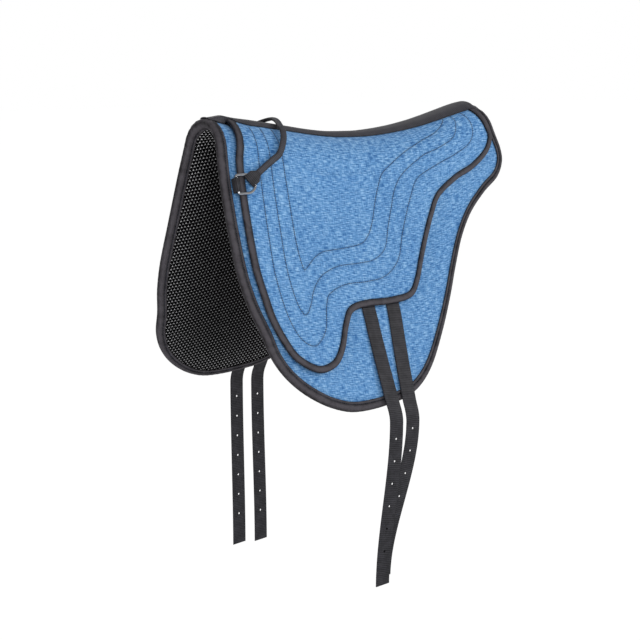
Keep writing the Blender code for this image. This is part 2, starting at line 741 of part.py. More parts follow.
def anchored_web(name, share, side):
    """Upper part of a girth strap, sewn under the seat panel from the spine down."""
    x = share * PAD_LENGTH
    end = ridge_to_datum(x) + BILLET_ROOT_DROP - LAYER_GAP
    drops = [WEB_TOP + (RIDGE_ZONE - WEB_TOP) * step / RIDGE_ROWS for step in range(RIDGE_ROWS)]
    drops += [RIDGE_ZONE + (end - RIDGE_ZONE) * step / 3 for step in range(4)]
    rings = []
    for drop in drops:
        ring = []
        for reach, lift in ((-1, WEB_BOTTOM), (1, WEB_BOTTOM), (1, WEB_OUTSIDE), (-1, WEB_OUTSIDE)):
            spot = x + reach * BILLET_WIDTH / 2
            same_place = drop if drop < RIDGE_ZONE else drop - ridge_to_datum(x) + ridge_to_datum(spot)
            ring.append(pad_point(spot, same_place, lift, side))
        rings.append(ring)
    swept_solid(name, rings, "webbing_black")


def flank_point(x, datum_drop, lift, side):
    """Place on the flank, by its distance down from the datum line."""
    return pad_point(x, ridge_to_datum(x) + datum_drop, lift, side)


def billet(name, shares, side, hang_length, over):
    """Free part of a girth strap: down the flap, then hanging in one plane, with holes."""
    root_x, edge_x, tip_x = (share * PAD_LENGTH for share in shares)
    edge_lift = BILLET_EDGE_LIFT + (WEB_THICKNESS + BILLET_STACK_GAP if over else 0)
    stations = []
    down_steps = 4
    for step in range(down_steps + 1):
        share = step / down_steps
        drop = BILLET_ROOT_DROP + (BILLET_HANG_DROP - BILLET_ROOT_DROP) * share
        lift = WEB_BOTTOM + (edge_lift - WEB_BOTTOM) * min(share * down_steps / (down_steps - 1), 1)
        x = root_x + (edge_x - root_x) * share
        low = flank_point(0, drop, lift, side)
        stations.append((x, low, outward(0, ridge_to_datum(0) + drop, side)))
    _, low, normal = stations[-1]
    turn_start = math.asin(normal.z)
    bend_steps = 3
    middle = low - normal * BILLET_BEND
    for step in range(1, bend_steps + 1):
        angle = turn_start * (1 - step / bend_steps)
        facing = Vector((0, side * math.cos(angle), math.sin(angle)))
        stations.append((edge_x, middle + facing * BILLET_BEND, facing))
    facing = Vector((0, side, 0))
    top = stations[-1][1]
    cell = HOLE_PITCH / 2
    steps = int((hang_length - HOLE_END_MARGIN - cell / 2) / HOLE_PITCH)
    first_hole = hang_length - HOLE_END_MARGIN - HOLE_PITCH * steps
    marks = []
    for index in range(steps + 1):
        middle_mark = first_hole + HOLE_PITCH * index
        marks += [(middle_mark - cell / 2, False), (middle_mark + cell / 2, True)]
    marks.append((hang_length, False))
    hole_cells = set()
    for mark, closes_hole in marks:
        share = mark / hang_length
        ease = share * share * (3 - 2 * share)
        if closes_hole:
            hole_cells.add(len(stations) - 1)
        stations.append((edge_x + (tip_x - edge_x) * ease, top + Vector((0, 0, -mark)), facing))
    strap_solid(name, stations, hole_cells, side)


def strap_solid(name, stations, hole_cells, side):
    """Flat strap through stations of (x, inner point, facing), holed in some cells."""
    bm = bmesh.new()
    rows = []
    last = len(stations) - 1
    for index, (x, low, facing) in enumerate(stations):
        row = []
        for layer in (0, 1):
            for reach in (-1, 1):
                spot = low + facing * WEB_THICKNESS * layer
                slant = TIP_SLANT * (1 + reach) / 2 if index == last else 0
                row.append(bm.verts.new((x + reach * BILLET_WIDTH / 2, spot.y, spot.z + slant)))
        rows.append(row)
    bm.faces.new([rows[0][index] for index in (0, 1, 3, 2)])
    bm.faces.new([rows[-1][index] for index in (0, 1, 3, 2)])
    for index, (first, second) in enumerate(zip(rows, rows[1:])):
        bm.faces.new((first[0], first[2], second[2], second[0]))
        bm.faces.new((first[1], first[3], second[3], second[1]))
        if index not in hole_cells:
            bm.faces.new((first[0], first[1], second[1], second[0]))
            bm.faces.new((first[2], first[3], second[3], second[2]))
            continue
        rims = []
        for layer in (0, 2):
            corners = [first[layer], first[layer + 1], second[layer + 1], second[layer]]
            middle = sum((corner.co for corner in corners), Vector()) / 4
            rim = []
            for step in range(8):
                turn = 2 * math.pi * (step + 0.5) / 8
                spoke = Vector((math.cos(turn), 0, math.sin(turn))) * HOLE_DIAMETER / 2
                rim.append(bm.verts.new(middle + spoke))
            upper_right, upper_left = corners[1], corners[0]
            lower_left, lower_right = corners[3], corners[2]
            around = (upper_right, upper_left, lower_left, lower_right)
            for quarter in range(4):
                here = around[quarter]
                after = around[(quarter + 1) % 4]
                bm.faces.new((here, rim[2 * quarter], rim[2 * quarter + 1]))
                bm.faces.new((here, rim[2 * quarter + 1], rim[(2 * quarter + 2) % 8], after))
            rims.append(rim)
        for step in range(8):
            after = (step + 1) % 8
            bm.faces.new((rims[0][step], rims[0][after], rims[1][after], rims[1][step]))
    finish_mesh(name, bm, "webbing_black")


def build():
    """Make every piece of the pad."""
    for existing in list(bpy.data.objects):
        bpy.data.objects.remove(existing)
    seats = {side: RingSeat(side) for side in (LEFT, RIGHT)}
    for side_name, side in SIDES.items():
        base_layers(side_name, side)
        base_binding(side_name, side)
        seat_panel(side_name, side)
        seat_binding(side_name, side)
        shoulder_ring(side_name, seats[side])
        ring_keeper(side_name, seats[side])
        grab_loop(side_name, seats[side])
    spine_strip()
    grab_strap(seats)
    straps = (
        ("left_front", LEFT_FRONT_SHARES, LEFT, LEFT_FRONT_HANG, True),
        ("left_rear", LEFT_REAR_SHARES, LEFT, LEFT_REAR_HANG, False),
        ("right_front", RIGHT_FRONT_SHARES, RIGHT, RIGHT_HANG, False),
        ("right_rear", RIGHT_REAR_SHARES, RIGHT, RIGHT_HANG, False),
    )
    for name, shares, side, hang_length, over in straps:
        anchored_web(f"{name}_girth_web", shares[0], side)
        billet(f"{name}_billet", shares, side, hang_length, over)


build()
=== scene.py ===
"""Bareback riding pad: its looks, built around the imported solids.

Metres, +Z up, +X towards the horse's tail, -Y the horse's left side. The pad
lies on the form of a horse's back. A place on it is x along the spine, the
drop down from the ridge along the inside of the pad, and the lift outwards.
"""

import logging
import math
from dataclasses import dataclass, field
from enum import Enum
from typing import Sequence

import bmesh
import bpy
import numpy as np
from mathutils import Matrix, Vector


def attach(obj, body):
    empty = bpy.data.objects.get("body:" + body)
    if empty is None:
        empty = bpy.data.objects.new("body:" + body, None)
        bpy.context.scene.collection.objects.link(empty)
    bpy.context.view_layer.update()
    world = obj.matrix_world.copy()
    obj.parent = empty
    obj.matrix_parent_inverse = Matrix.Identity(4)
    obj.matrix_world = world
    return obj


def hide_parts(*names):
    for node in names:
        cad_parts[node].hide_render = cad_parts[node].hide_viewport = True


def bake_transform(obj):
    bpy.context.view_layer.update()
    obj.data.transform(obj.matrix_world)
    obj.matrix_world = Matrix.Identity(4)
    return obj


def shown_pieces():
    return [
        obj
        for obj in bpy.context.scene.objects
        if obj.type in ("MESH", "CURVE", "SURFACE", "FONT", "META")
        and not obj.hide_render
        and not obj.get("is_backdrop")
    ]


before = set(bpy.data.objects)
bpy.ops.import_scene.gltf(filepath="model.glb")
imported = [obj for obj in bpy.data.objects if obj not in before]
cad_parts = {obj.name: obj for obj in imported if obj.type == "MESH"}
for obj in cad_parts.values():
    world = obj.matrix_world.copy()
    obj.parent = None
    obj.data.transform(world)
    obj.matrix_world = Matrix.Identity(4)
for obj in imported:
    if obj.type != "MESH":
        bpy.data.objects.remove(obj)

LOG = logging.getLogger("bareback_pad")
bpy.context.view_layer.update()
MM = 0.001
WAVE_BAND = 0.314  # how far apart a wave texture's bands lie at a scale of 1
STRAP_STEP = 0.7 * MM
TAPE_STEP = 4 * MM
RIDGE_CLEARANCE = 0.5 * MM
TAPE_CLEARANCE = 0.03 * MM
WELD = 0.02 * MM
CORNER_MATCH = 0.1 * MM
GROOVE_DEPTH = 0.7 * MM
GROOVE_SHARE = 0.08
Array = np.ndarray

BASE_OUTLINE_SHARES = (
    (-0.458, 0.0), (-0.464, 0.11), (-0.472, 0.24), (-0.476, 0.405), (-0.476, 0.55),
    (-0.466, 0.655), (-0.447, 0.745), (-0.434, 0.825), (-0.405, 0.89), (-0.354, 0.947),
    (-0.290, 0.987), (-0.214, 1.0), (-0.092, 0.969), (0.0, 0.93), (0.076, 0.858),
    (0.150, 0.748), (0.214, 0.635), (0.263, 0.536), (0.313, 0.444), (0.368, 0.374),
    (0.434, 0.322), (0.495, 0.280), (0.524, 0.232), (0.528, 0.184), (0.516, 0.12), (0.492, 0.0),
)
SEAT_OUTLINE_SHARES = (
    (-0.454, 0.0), (-0.469, 0.093), (-0.489, 0.187), (-0.499, 0.337), (-0.505, 0.502),
    (-0.507, 0.616), (-0.499, 0.722), (-0.49, 0.81), (-0.467, 0.894), (-0.437, 0.957),
    (-0.37, 1.0), (-0.304, 0.974), (-0.259, 0.91), (-0.219, 0.812), (-0.181, 0.748),
    (-0.109, 0.721), (-0.01, 0.712), (0.071, 0.694), (0.113, 0.64), (0.152, 0.557),
    (0.197, 0.466), (0.239, 0.389), (0.287, 0.32), (0.377, 0.274), (0.462, 0.253),
    (0.531, 0.213), (0.563, 0.157), (0.553, 0.101), (0.501, 0.0),
)
OUTER_STITCH_SHARES = (
    (-0.406, 0.0), (-0.411, 0.093), (-0.418, 0.187), (-0.427, 0.337), (-0.436, 0.498),
    (-0.442, 0.604), (-0.44, 0.701), (-0.433, 0.782), (-0.418, 0.85), (-0.394, 0.893),
    (-0.36, 0.906), (-0.324, 0.873), (-0.298, 0.825), (-0.277, 0.744), (-0.253, 0.693),
    (-0.181, 0.649), (-0.091, 0.633), (-0.01, 0.611), (0.055, 0.549), (0.095, 0.452),
    (0.129, 0.377), (0.167, 0.302), (0.21, 0.236), (0.305, 0.201), (0.395, 0.182),
    (0.462, 0.16), (0.489, 0.123), (0.488, 0.078), (0.448, 0.0),
)
MIDDLE_STITCH_SHARES = (
    (-0.363, 0.0), (-0.369, 0.093), (-0.373, 0.187), (-0.38, 0.317), (-0.386, 0.453),
    (-0.391, 0.541), (-0.393, 0.636), (-0.386, 0.733), (-0.375, 0.771), (-0.368, 0.782),
    (-0.354, 0.773), (-0.334, 0.737), (-0.312, 0.684), (-0.281, 0.636), (-0.25, 0.607),
    (-0.19, 0.575), (-0.109, 0.559), (-0.037, 0.541), (0.012, 0.498), (0.044, 0.414),
    (0.073, 0.341), (0.105, 0.264), (0.152, 0.206), (0.242, 0.156), (0.332, 0.139),
    (0.396, 0.122), (0.425, 0.095), (0.436, 0.062), (0.4, 0.0),
)
INNER_STITCH_SHARES = (
    (-0.32, 0.0), (-0.322, 0.092), (-0.325, 0.187), (-0.328, 0.295), (-0.332, 0.402),
    (-0.335, 0.466), (-0.335, 0.53), (-0.333, 0.572), (-0.33, 0.596), (-0.326, 0.6),
    (-0.317, 0.592), (-0.299, 0.572), (-0.281, 0.551), (-0.263, 0.536), (-0.238, 0.521),
    (-0.19, 0.509), (-0.127, 0.493), (-0.073, 0.474), (-0.037, 0.432), (-0.01, 0.373),
    (0.013, 0.308), (0.037, 0.25), (0.071, 0.19), (0.162, 0.14), (0.262, 0.108),
    (0.336, 0.091), (0.382, 0.069), (0.4, 0.045), (0.364, 0.0),
)


class Side(Enum):
    """The horse's left and right, as the sign of Y."""

    LEFT = -1
    RIGHT = 1

    @property
    def word(self) -> str:
        """Name of the side, as the nodes use it."""
        return self.name.lower()


def linear(hex_colour: str) -> tuple[float, float, float, float]:
    """Turn an sRGB hex colour into a linear RGBA colour.

    Args:
        hex_colour: six hex digits, such as "6497cb".

    Returns:
        The linear red, green, blue and an alpha of 1.
    """
    channels = [int(hex_colour[start:start + 2], 16) / 255 for start in (0, 2, 4)]
    turned = [c / 12.92 if c <= 0.04045 else ((c + 0.055) / 1.055) ** 2.4 for c in channels]
    return (*turned, 1.0)


def add_node(tree: bpy.types.NodeTree, kind: str, settings: dict | None = None,
             inputs: dict | None = None) -> bpy.types.Node:
    """Add one shader node, with its settings and what goes into it.

    Args:
        tree: the material's node tree.
        kind: the node's type, without the ShaderNode that starts its name.
        settings: attributes of the node to set.
        inputs: socket name or number to a plain value or to another node's output.

    Returns:
        The new node.
    """
    made = tree.nodes.new(f"ShaderNode{kind}")
    for name, value in (settings or {}).items():
        setattr(made, name, value)
    for key, value in (inputs or {}).items():
        if isinstance(value, bpy.types.NodeSocket):
            tree.links.new(value, made.inputs[key])
        else:
            made.inputs[key].default_value = value
    return made


def wave_scale(size_mm: float) -> float:
    """Scale that sets a wave texture's bands a real size apart."""
    return WAVE_BAND / (size_mm * MM)


@dataclass(frozen=True)
class Finish:
    """A surface finish: what every finish of the pad shares."""

    name: str
    roughness: float
    metallic: float = 0.0
    sheen: float = 0.0
    specular: float = 0.5

    def start(self) -> tuple[bpy.types.Material, bpy.types.NodeTree, bpy.types.Node]:
        """Make the bare material.

        Returns:
            The material, its node tree and its Principled shader.
        """
        made = bpy.data.materials.new(self.name)
        made.use_nodes = True
        tree = made.node_tree
        shader = tree.nodes["Principled BSDF"]
        shader.inputs["Roughness"].default_value = self.roughness
        shader.inputs["Metallic"].default_value = self.metallic
        shader.inputs["Sheen Weight"].default_value = self.sheen
        shader.inputs["Specular IOR Level"].default_value = self.specular
        return made, tree, shader

    def material(self) -> bpy.types.Material:
        """Return the finish's material, made on first use."""
        return bpy.data.materials.get(self.name) or self.make()

    def make(self) -> bpy.types.Material:
        """Make the material; each finish has its own way."""
        raise NotImplementedError


@dataclass(frozen=True)
class WovenDenim(Finish):
    """Yarn-dyed denim: a plain weave of light and mid blue slub yarns, washed."""

    # deep: the blue along seams, partly less-faded dye and partly painted shade in their hollows.
    deep: str = "1e3c62"
    dark: str = "2d629c"
    middle: str = "5c91c6"
    light: str = "97bfe2"
    yarn_mm: float = 2.6
    slub_mm: tuple[float, float] = (1.5, 12.0)
    wash_mm: float = 90.9
    bump_mm: float = 0.15
    warp_share: float = 0.5
    weave_share: float = 0.06
    wash_share: float = 0.14
    tones: tuple[float, float] = (0.58, 1.13)
    seam_shade_and_dye: float = 0.5

    def make(self) -> bpy.types.Material:
        """Cross two sets of slub streaks over a weave of threads.

        The real yarn and its slubs are 0.7 mm thick; both are drawn coarser,
        since they are too fine to show. Along the seams the denim is a deeper
        blue: partly the dye that the wash leaves there, partly painted shade.

        Returns:
            The denim material.
        """
        made, tree, shader = self.start()
        cloth = add_node(tree, "UVMap", {"uv_map": "cloth"}).outputs["UV"]
        thin, long = (1 / (size * MM) for size in self.slub_mm)
        streaks = []
        for scale, offset in (((thin, long, 1), 0.0), ((long, thin, 1), 40.0)):
            place = add_node(tree, "Mapping", None, {
                "Vector": cloth, "Scale": scale, "Location": (offset, offset, 0)})
            streaks.append(add_node(tree, "TexNoise", {"noise_dimensions": "2D"}, {
                "Vector": place.outputs[0], "Scale": 1.0, "Detail": 1.0, "Roughness": 0.5}).outputs["Fac"])
        crossed = add_node(tree, "Math", {"operation": "MULTIPLY_ADD"}, {
            0: streaks[0], 1: self.warp_share, 2: streaks[1]})
        waves = []
        for axis in ("X", "Y"):
            waves.append(add_node(
                tree, "TexWave", {"bands_direction": axis, "wave_profile": "SIN"},
                {"Vector": cloth, "Scale": wave_scale(self.yarn_mm), "Distortion": 1.2,
                 "Detail": 1.0, "Detail Scale": 3.0},
            ).outputs["Fac"])
        weave = add_node(tree, "Math", {"operation": "MULTIPLY"}, {0: waves[0], 1: waves[1]})
        wash = add_node(tree, "TexNoise", {"noise_dimensions": "2D"}, {
            "Vector": cloth, "Scale": 1 / (self.wash_mm * MM), "Detail": 3.0,
            "Roughness": 0.6}).outputs["Fac"]
        spread = add_node(tree, "Math", {"operation": "MULTIPLY_ADD"}, {
            0: weave.outputs[0], 1: self.weave_share, 2: crossed.outputs[0]})
        washed = add_node(tree, "Math", {"operation": "MULTIPLY_ADD"}, {
            0: wash, 1: self.wash_share, 2: spread.outputs[0]})
        darkest, palest = self.tones
        tone = add_node(tree, "MapRange", None, {
            "Value": washed.outputs[0], "From Min": darkest, "From Max": palest})
        ramp = add_node(tree, "ValToRGB", None, {"Fac": tone.outputs[0]})
        ramp.color_ramp.elements[0].color = linear(self.dark)
        ramp.color_ramp.elements[1].color = linear(self.light)
        ramp.color_ramp.elements.new(0.5).color = linear(self.middle)
        bump = add_node(tree, "Bump", None, {
            "Height": washed.outputs[0], "Strength": 0.5, "Distance": self.bump_mm * MM})
        # Painted shade, partly less-faded dye: the seam mark pulls the colour towards the deep blue along
        # seams and bindings.
        seam = add_node(tree, "Attribute", {"attribute_name": "seam"}).outputs["Fac"]
        darkened_by_seam_shade = add_node(tree, "Math", {"operation": "MULTIPLY"}, {0: seam, 1: self.seam_shade_and_dye})
        colour = add_node(tree, "Mix", {"data_type": "RGBA"}, {
            "Factor": darkened_by_seam_shade.outputs[0], 6: ramp.outputs["Color"], 7: linear(self.deep)})
        tree.links.new(colour.outputs[2], shader.inputs["Base Color"])
        tree.links.new(bump.outputs[0], shader.inputs["Normal"])
        return made


@dataclass(frozen=True)
class SpacerMesh(Finish):
    """Knitted polyester spacer mesh: glossy black strands round open cells."""

    # Painted highlight and shade: the knots are near white for the glints on the black mesh's glossy knots,
    # the cells near black for the shade in their pits.
    knot: str = "fafafc"
    strand: str = "202024"
    cell: str = "020203"
    stops: tuple[float, float, float] = (0.14, 0.34, 0.68)
    yarn_mm: float = 1.11
    bump_mm: float = 0.2
    pit_roughness: float = 0.95
    pit_specular: float = 0.04
    gloss_depth: float = 0.3

    def make(self) -> bpy.types.Material:
        """Paint a highlight on the knots, and shade darkening down into the cells.

        Painted shade dims the knots farther from the pad's edge and lower down.

        Returns:
            The mesh material.
        """
        made, tree, shader = self.start()
        depth = add_node(tree, "Attribute", {"attribute_name": "depth"}).outputs["Fac"]
        place = add_node(tree, "TexCoord").outputs["Object"]
        yarn = add_node(tree, "TexNoise", None, {
            "Vector": place, "Scale": 1 / (self.yarn_mm * MM), "Detail": 2.0}).outputs["Fac"]
        # Painted highlight and shade: the ramp runs from the near-white knots through the strands to the
        # near-black cells.
        ramp = add_node(tree, "ValToRGB", None, {"Fac": depth})
        knot, cell = ramp.color_ramp.elements
        knot.color, knot.position = linear(self.knot), self.stops[0]
        cell.color, cell.position = linear(self.cell), self.stops[2]
        ramp.color_ramp.elements.new(self.stops[1]).color = linear(self.strand)
        # Painted shade: the dull mark pulls the mesh towards the cells' near black.
        dull = add_node(tree, "Attribute", {"attribute_name": "dull"}).outputs["Fac"]
        colour = add_node(tree, "Mix", {"data_type": "RGBA"}, {
            "Factor": dull, 6: ramp.outputs["Color"], 7: linear(self.cell)})
        tree.links.new(colour.outputs[2], shader.inputs["Base Color"])
        rough = add_node(tree, "MapRange", None, {
            "Value": depth, "To Min": self.roughness, "To Max": self.pit_roughness})
        tree.links.new(rough.outputs[0], shader.inputs["Roughness"])
        gloss = add_node(tree, "MapRange", None, {
            "Value": depth, "From Max": self.gloss_depth, "To Min": self.specular,
            "To Max": self.pit_specular})
        tree.links.new(gloss.outputs[0], shader.inputs["Specular IOR Level"])
        bump = add_node(tree, "Bump", None, {
            "Height": yarn, "Strength": 0.4, "Distance": self.bump_mm * MM})
        tree.links.new(bump.outputs[0], shader.inputs["Normal"])
        return made


@dataclass(frozen=True)
class WovenTape(Finish):
    """Woven narrow fabric, such as nylon webbing or polyester binding tape."""

    base: str = "38383d"
    # The pale end of the tone stands for real wear and for the painted highlight on the crown.
    worn_and_lit: str = "4a4a50"
    rib_mm: float = 3.4
    warp_mm: float = 1.8
    wear_mm: float = 16.67
    rib_share: float = 0.55
    warp_share: float = 0.4
    crown_highlight_share: float = 0.6
    tones: tuple[float, float] = (0.55, 1.15)
    bump_mm: float = 0.15

    def make(self) -> bpy.types.Material:
        """Run weft ribs across the tape, with warp lines, faint wear and a painted highlight on its crown.

        The real ribs are 1.2 mm apart; they are drawn coarser so that they show.

        Returns:
            The tape material.
        """
        made, tree, shader = self.start()
        cloth = add_node(tree, "UVMap", {"uv_map": "cloth"}).outputs["UV"]
        rib = add_node(
            tree, "TexWave", {"bands_direction": "Y", "wave_profile": "SIN"},
            {"Vector": cloth, "Scale": wave_scale(self.rib_mm), "Distortion": 0.3, "Detail": 1.0},
        ).outputs["Fac"]
        warp = add_node(
            tree, "TexWave", {"bands_direction": "X", "wave_profile": "SIN"},
            {"Vector": cloth, "Scale": wave_scale(self.warp_mm), "Distortion": 0.6, "Detail": 1.0},
        ).outputs["Fac"]
        wear = add_node(tree, "TexNoise", {"noise_dimensions": "2D"}, {
            "Vector": cloth, "Scale": 1 / (self.wear_mm * MM), "Detail": 5.0,
            "Roughness": 0.7}).outputs["Fac"]
        weave = add_node(tree, "Math", {"operation": "MULTIPLY_ADD"}, {0: warp, 1: self.warp_share, 2: rib})
        tone = add_node(tree, "Math", {"operation": "MULTIPLY_ADD"}, {
            0: weave.outputs[0], 1: self.rib_share, 2: wear})
        # Painted highlight: the crown mark makes the tape's raised middle paler.
        crown = add_node(tree, "Attribute", {"attribute_name": "crown"}).outputs["Fac"]
        raised = add_node(tree, "Math", {"operation": "MULTIPLY_ADD"}, {
            0: crown, 1: self.crown_highlight_share, 2: tone.outputs[0]})
        darkest, palest = self.tones
        mixed = add_node(tree, "MapRange", None, {
            "Value": raised.outputs[0], "From Min": darkest, "From Max": palest + self.rib_share})
        colour = add_node(tree, "Mix", {"data_type": "RGBA"}, {
            "Factor": mixed.outputs[0], 6: linear(self.base), 7: linear(self.worn_and_lit)})
        tree.links.new(colour.outputs[2], shader.inputs["Base Color"])
        bump = add_node(tree, "Bump", None, {
            "Height": weave.outputs[0], "Strength": 0.6, "Distance": self.bump_mm * MM})
        tree.links.new(bump.outputs[0], shader.inputs["Normal"])
        return made


@dataclass(frozen=True)
class CellFoam(Finish):
    """Closed-cell polyethylene foam, cut: fine pores in a matt grey."""

    base: str = "8f8f92"
    pore: str = "6f6f74"
    pore_mm: float = 1.5
    bump_mm: float = 0.3

    def make(self) -> bpy.types.Material:
        """Scatter pores over the grey.

        Returns:
            The foam material.
        """
        made, tree, shader = self.start()
        place = add_node(tree, "TexCoord").outputs["Object"]
        pores = add_node(tree, "TexVoronoi", None, {
            "Vector": place, "Scale": 1 / (self.pore_mm * MM)}).outputs["Distance"]
        colour = add_node(tree, "Mix", {"data_type": "RGBA"}, {
            "Factor": pores, 6: linear(self.pore), 7: linear(self.base)})
        tree.links.new(colour.outputs[2], shader.inputs["Base Color"])
        bump = add_node(tree, "Bump", None, {
            "Height": pores, "Strength": 0.5, "Distance": self.bump_mm * MM})
        tree.links.new(bump.outputs[0], shader.inputs["Normal"])
        return made


@dataclass(frozen=True)
class PlatedSteel(Finish):
    """Nickel-plated round steel wire, drawn, bent and barrel polished."""

    base: str = "b4b6ba"
    dull: str = "9fa1a6"
    haze_mm: float = 4.55

    def make(self) -> bpy.types.Material:
        """Vary the polish faintly, as barrel polishing leaves it.

        Returns:
            The plated metal.
        """
        made, tree, shader = self.start()
        place = add_node(tree, "TexCoord").outputs["Object"]
        haze = add_node(tree, "TexNoise", None, {
            "Vector": place, "Scale": 1 / (self.haze_mm * MM), "Detail": 3.0}).outputs["Fac"]
        rough = add_node(tree, "MapRange", None, {
            "Value": haze, "To Min": self.roughness * 0.6, "To Max": self.roughness * 1.6})
        tree.links.new(rough.outputs[0], shader.inputs["Roughness"])
        tint = add_node(tree, "Mix", {"data_type": "RGBA"}, {
            "Factor": haze, 6: linear(self.base), 7: linear(self.dull)})
        tree.links.new(tint.outputs[2], shader.inputs["Base Color"])
        return made


@dataclass(frozen=True)
class SewingThread(Finish):
    """Bonded polyester sewing thread, twisted: soft gloss."""

    base: str = "121a2b"
    glint: str = "232d42"
    twist_mm: float = 0.6

    def make(self) -> bpy.types.Material:
        """Mark the thread's twist with fine slanting bands.

        Returns:
            The thread material.
        """
        made, tree, shader = self.start()
        place = add_node(tree, "TexCoord").outputs["Object"]
        twist = add_node(tree, "TexWave", {"bands_direction": "DIAGONAL"}, {
            "Vector": place, "Scale": wave_scale(self.twist_mm)}).outputs["Fac"]
        colour = add_node(tree, "Mix", {"data_type": "RGBA"}, {
            "Factor": twist, 6: linear(self.base), 7: linear(self.glint)})
        tree.links.new(colour.outputs[2], shader.inputs["Base Color"])
        return made


DENIM = WovenDenim("yarn_dyed_denim", roughness=0.85, sheen=0.08, specular=0.25)
MESH = SpacerMesh("knitted_spacer_mesh", roughness=0.34)
WEBBING = WovenTape("ribbed_nylon_webbing", roughness=0.55, specular=0.25, base="121216", worn_and_lit="444349")
BINDING = WovenTape("woven_binding_tape", roughness=0.6, specular=0.15, base="040406", worn_and_lit="4a474c",
                    rib_mm=2.4, rib_share=0.12)
FOAM = CellFoam("cut_cell_foam", roughness=0.95)
NICKEL = PlatedSteel("nickel_plated_wire", roughness=0.1, metallic=1.0)
THREAD = SewingThread("bonded_thread", roughness=0.5)


@dataclass(frozen=True)
class BackForm:
    """Form of the horse's back: a round ridge tangent to two flared flanks."""

    front_reach: float = 0.300
    rear_reach: float = 0.322
    front_rise: float = 0.038
    rear_rise: float = 0.055
    datum_depth: float = 0.150
    datum_half_width: float = 0.0975
    datum_slope: float = math.radians(20.7)
    flare_radius: float = 2.100
    front_shares: tuple = (
        (0.0, 0.0), (0.12, 0.03), (0.27, 0.16), (0.41, 0.33), (0.67, 0.64), (0.82, 0.80), (1.0, 1.12),
    )
    rear_shares: tuple = (
        (0.0, 0.0), (0.14, 0.01), (0.34, 0.13), (0.52, 0.32),
        (0.65, 0.51), (0.76, 0.69), (0.88, 0.88), (1.0, 1.0),
    )

    @staticmethod
    def _curve(table: tuple, where: Array) -> Array:
        """Read a smooth curve through a table of (where, value) pairs."""
        knots = np.array(table, float)
        x, y = knots[:, 0], knots[:, 1]
        after = np.minimum(np.arange(len(x)) + 1, len(x) - 1)
        before = np.maximum(np.arange(len(x)) - 1, 0)
        slope = (y[after] - y[before]) / (x[after] - x[before])
        i = np.clip(np.searchsorted(x, where) - 1, 0, len(x) - 2)
        span = x[i + 1] - x[i]
        t = (where - x[i]) / span
        u = np.clip(t, 0, 1)
        rise = (1 + 2 * u) * (1 - u) ** 2 * y[i] + u * u * (3 - 2 * u) * y[i + 1]
        lean = u * (1 - u) ** 2 * slope[i] - u * u * (1 - u) * slope[i + 1]
        return rise + lean * span + np.maximum(t - 1, 0) * span * slope[i + 1]

    def ridge_height(self, x: Array) -> Array:
        """Height of the underside of the ridge at each x."""
        front = self.front_rise * self._curve(self.front_shares, np.maximum(-x, 0) / self.front_reach)
        rear = self.rear_rise * self._curve(self.rear_shares, np.maximum(x, 0) / self.rear_reach)
        return np.where(x < 0, front, rear)

    def section(self, x: Array) -> tuple[Array, Array, Array, float, float]:
        """Ridge circle and flank arc at each x.

        Args:
            x: places along the spine.

        Returns:
            The ridge circle's centre height, radius and tangent angle, and the
            flank arc's centre as y and z.
        """
        top = self.ridge_height(x)
        flank_y = self.datum_half_width + self.flare_radius * math.cos(self.datum_slope)
        flank_z = -self.datum_depth + self.flare_radius * math.sin(self.datum_slope)
        reach = self.flare_radius + top
        centre = (flank_y ** 2 + flank_z ** 2 - reach ** 2) / (2 * (flank_z - reach))
        return centre, top - centre, np.arctan2(flank_z - centre, flank_y), flank_y, flank_z

    def place(self, x: Array, drop: Array, lift: Array, side: Side) -> Array:
        """Places on the pad as points.

        Args:
            x: places along the spine.
            drop: distances down from the ridge.
            lift: distances outwards.
            side: which half of the pad.

        Returns:
            Points, with the same shape and a last axis of three.
        """
        x, drop, lift = np.broadcast_arrays(*(np.asarray(v, float) for v in (x, drop, lift)))
        centre, radius, tangent, flank_y, flank_z = self.section(x)
        arc = radius * (math.pi / 2 - tangent)
        on_ridge = drop <= arc
        turn = np.where(on_ridge, drop / radius, tangent + (drop - arc) / self.flare_radius)
        flank = self.flare_radius - lift
        y = np.where(on_ridge, (radius + lift) * np.sin(turn), flank_y - flank * np.cos(turn))
        z = np.where(on_ridge, centre + (radius + lift) * np.cos(turn), flank_z - flank * np.sin(turn))
        return np.stack([x, side.value * y, z], axis=-1)

    def outward(self, x: Array, drop: Array, side: Side) -> Array:
        """Unit normals of the pad, pointing away from the horse."""
        return unit(self.place(x, drop, MM, side) - self.place(x, drop, 0.0, side))

    def lay(self, places: Array, lift: Array, side: Side) -> Array:
        """Points on the pad at rows of (x, drop) and a lift."""
        return self.place(places[..., 0], places[..., 1], lift, side)

    def facing(self, places: Array, side: Side) -> Array:
        """Unit normals of the pad at rows of (x, drop)."""
        return self.outward(places[..., 0], places[..., 1], side)

    def datum_drop(self, x: Array) -> Array:
        """Distance down the inside of the pad from the ridge to the datum line."""
        _, radius, tangent, _, _ = self.section(np.asarray(x, float))
        return radius * (math.pi / 2 - tangent) - self.flare_radius * (tangent - self.datum_slope)


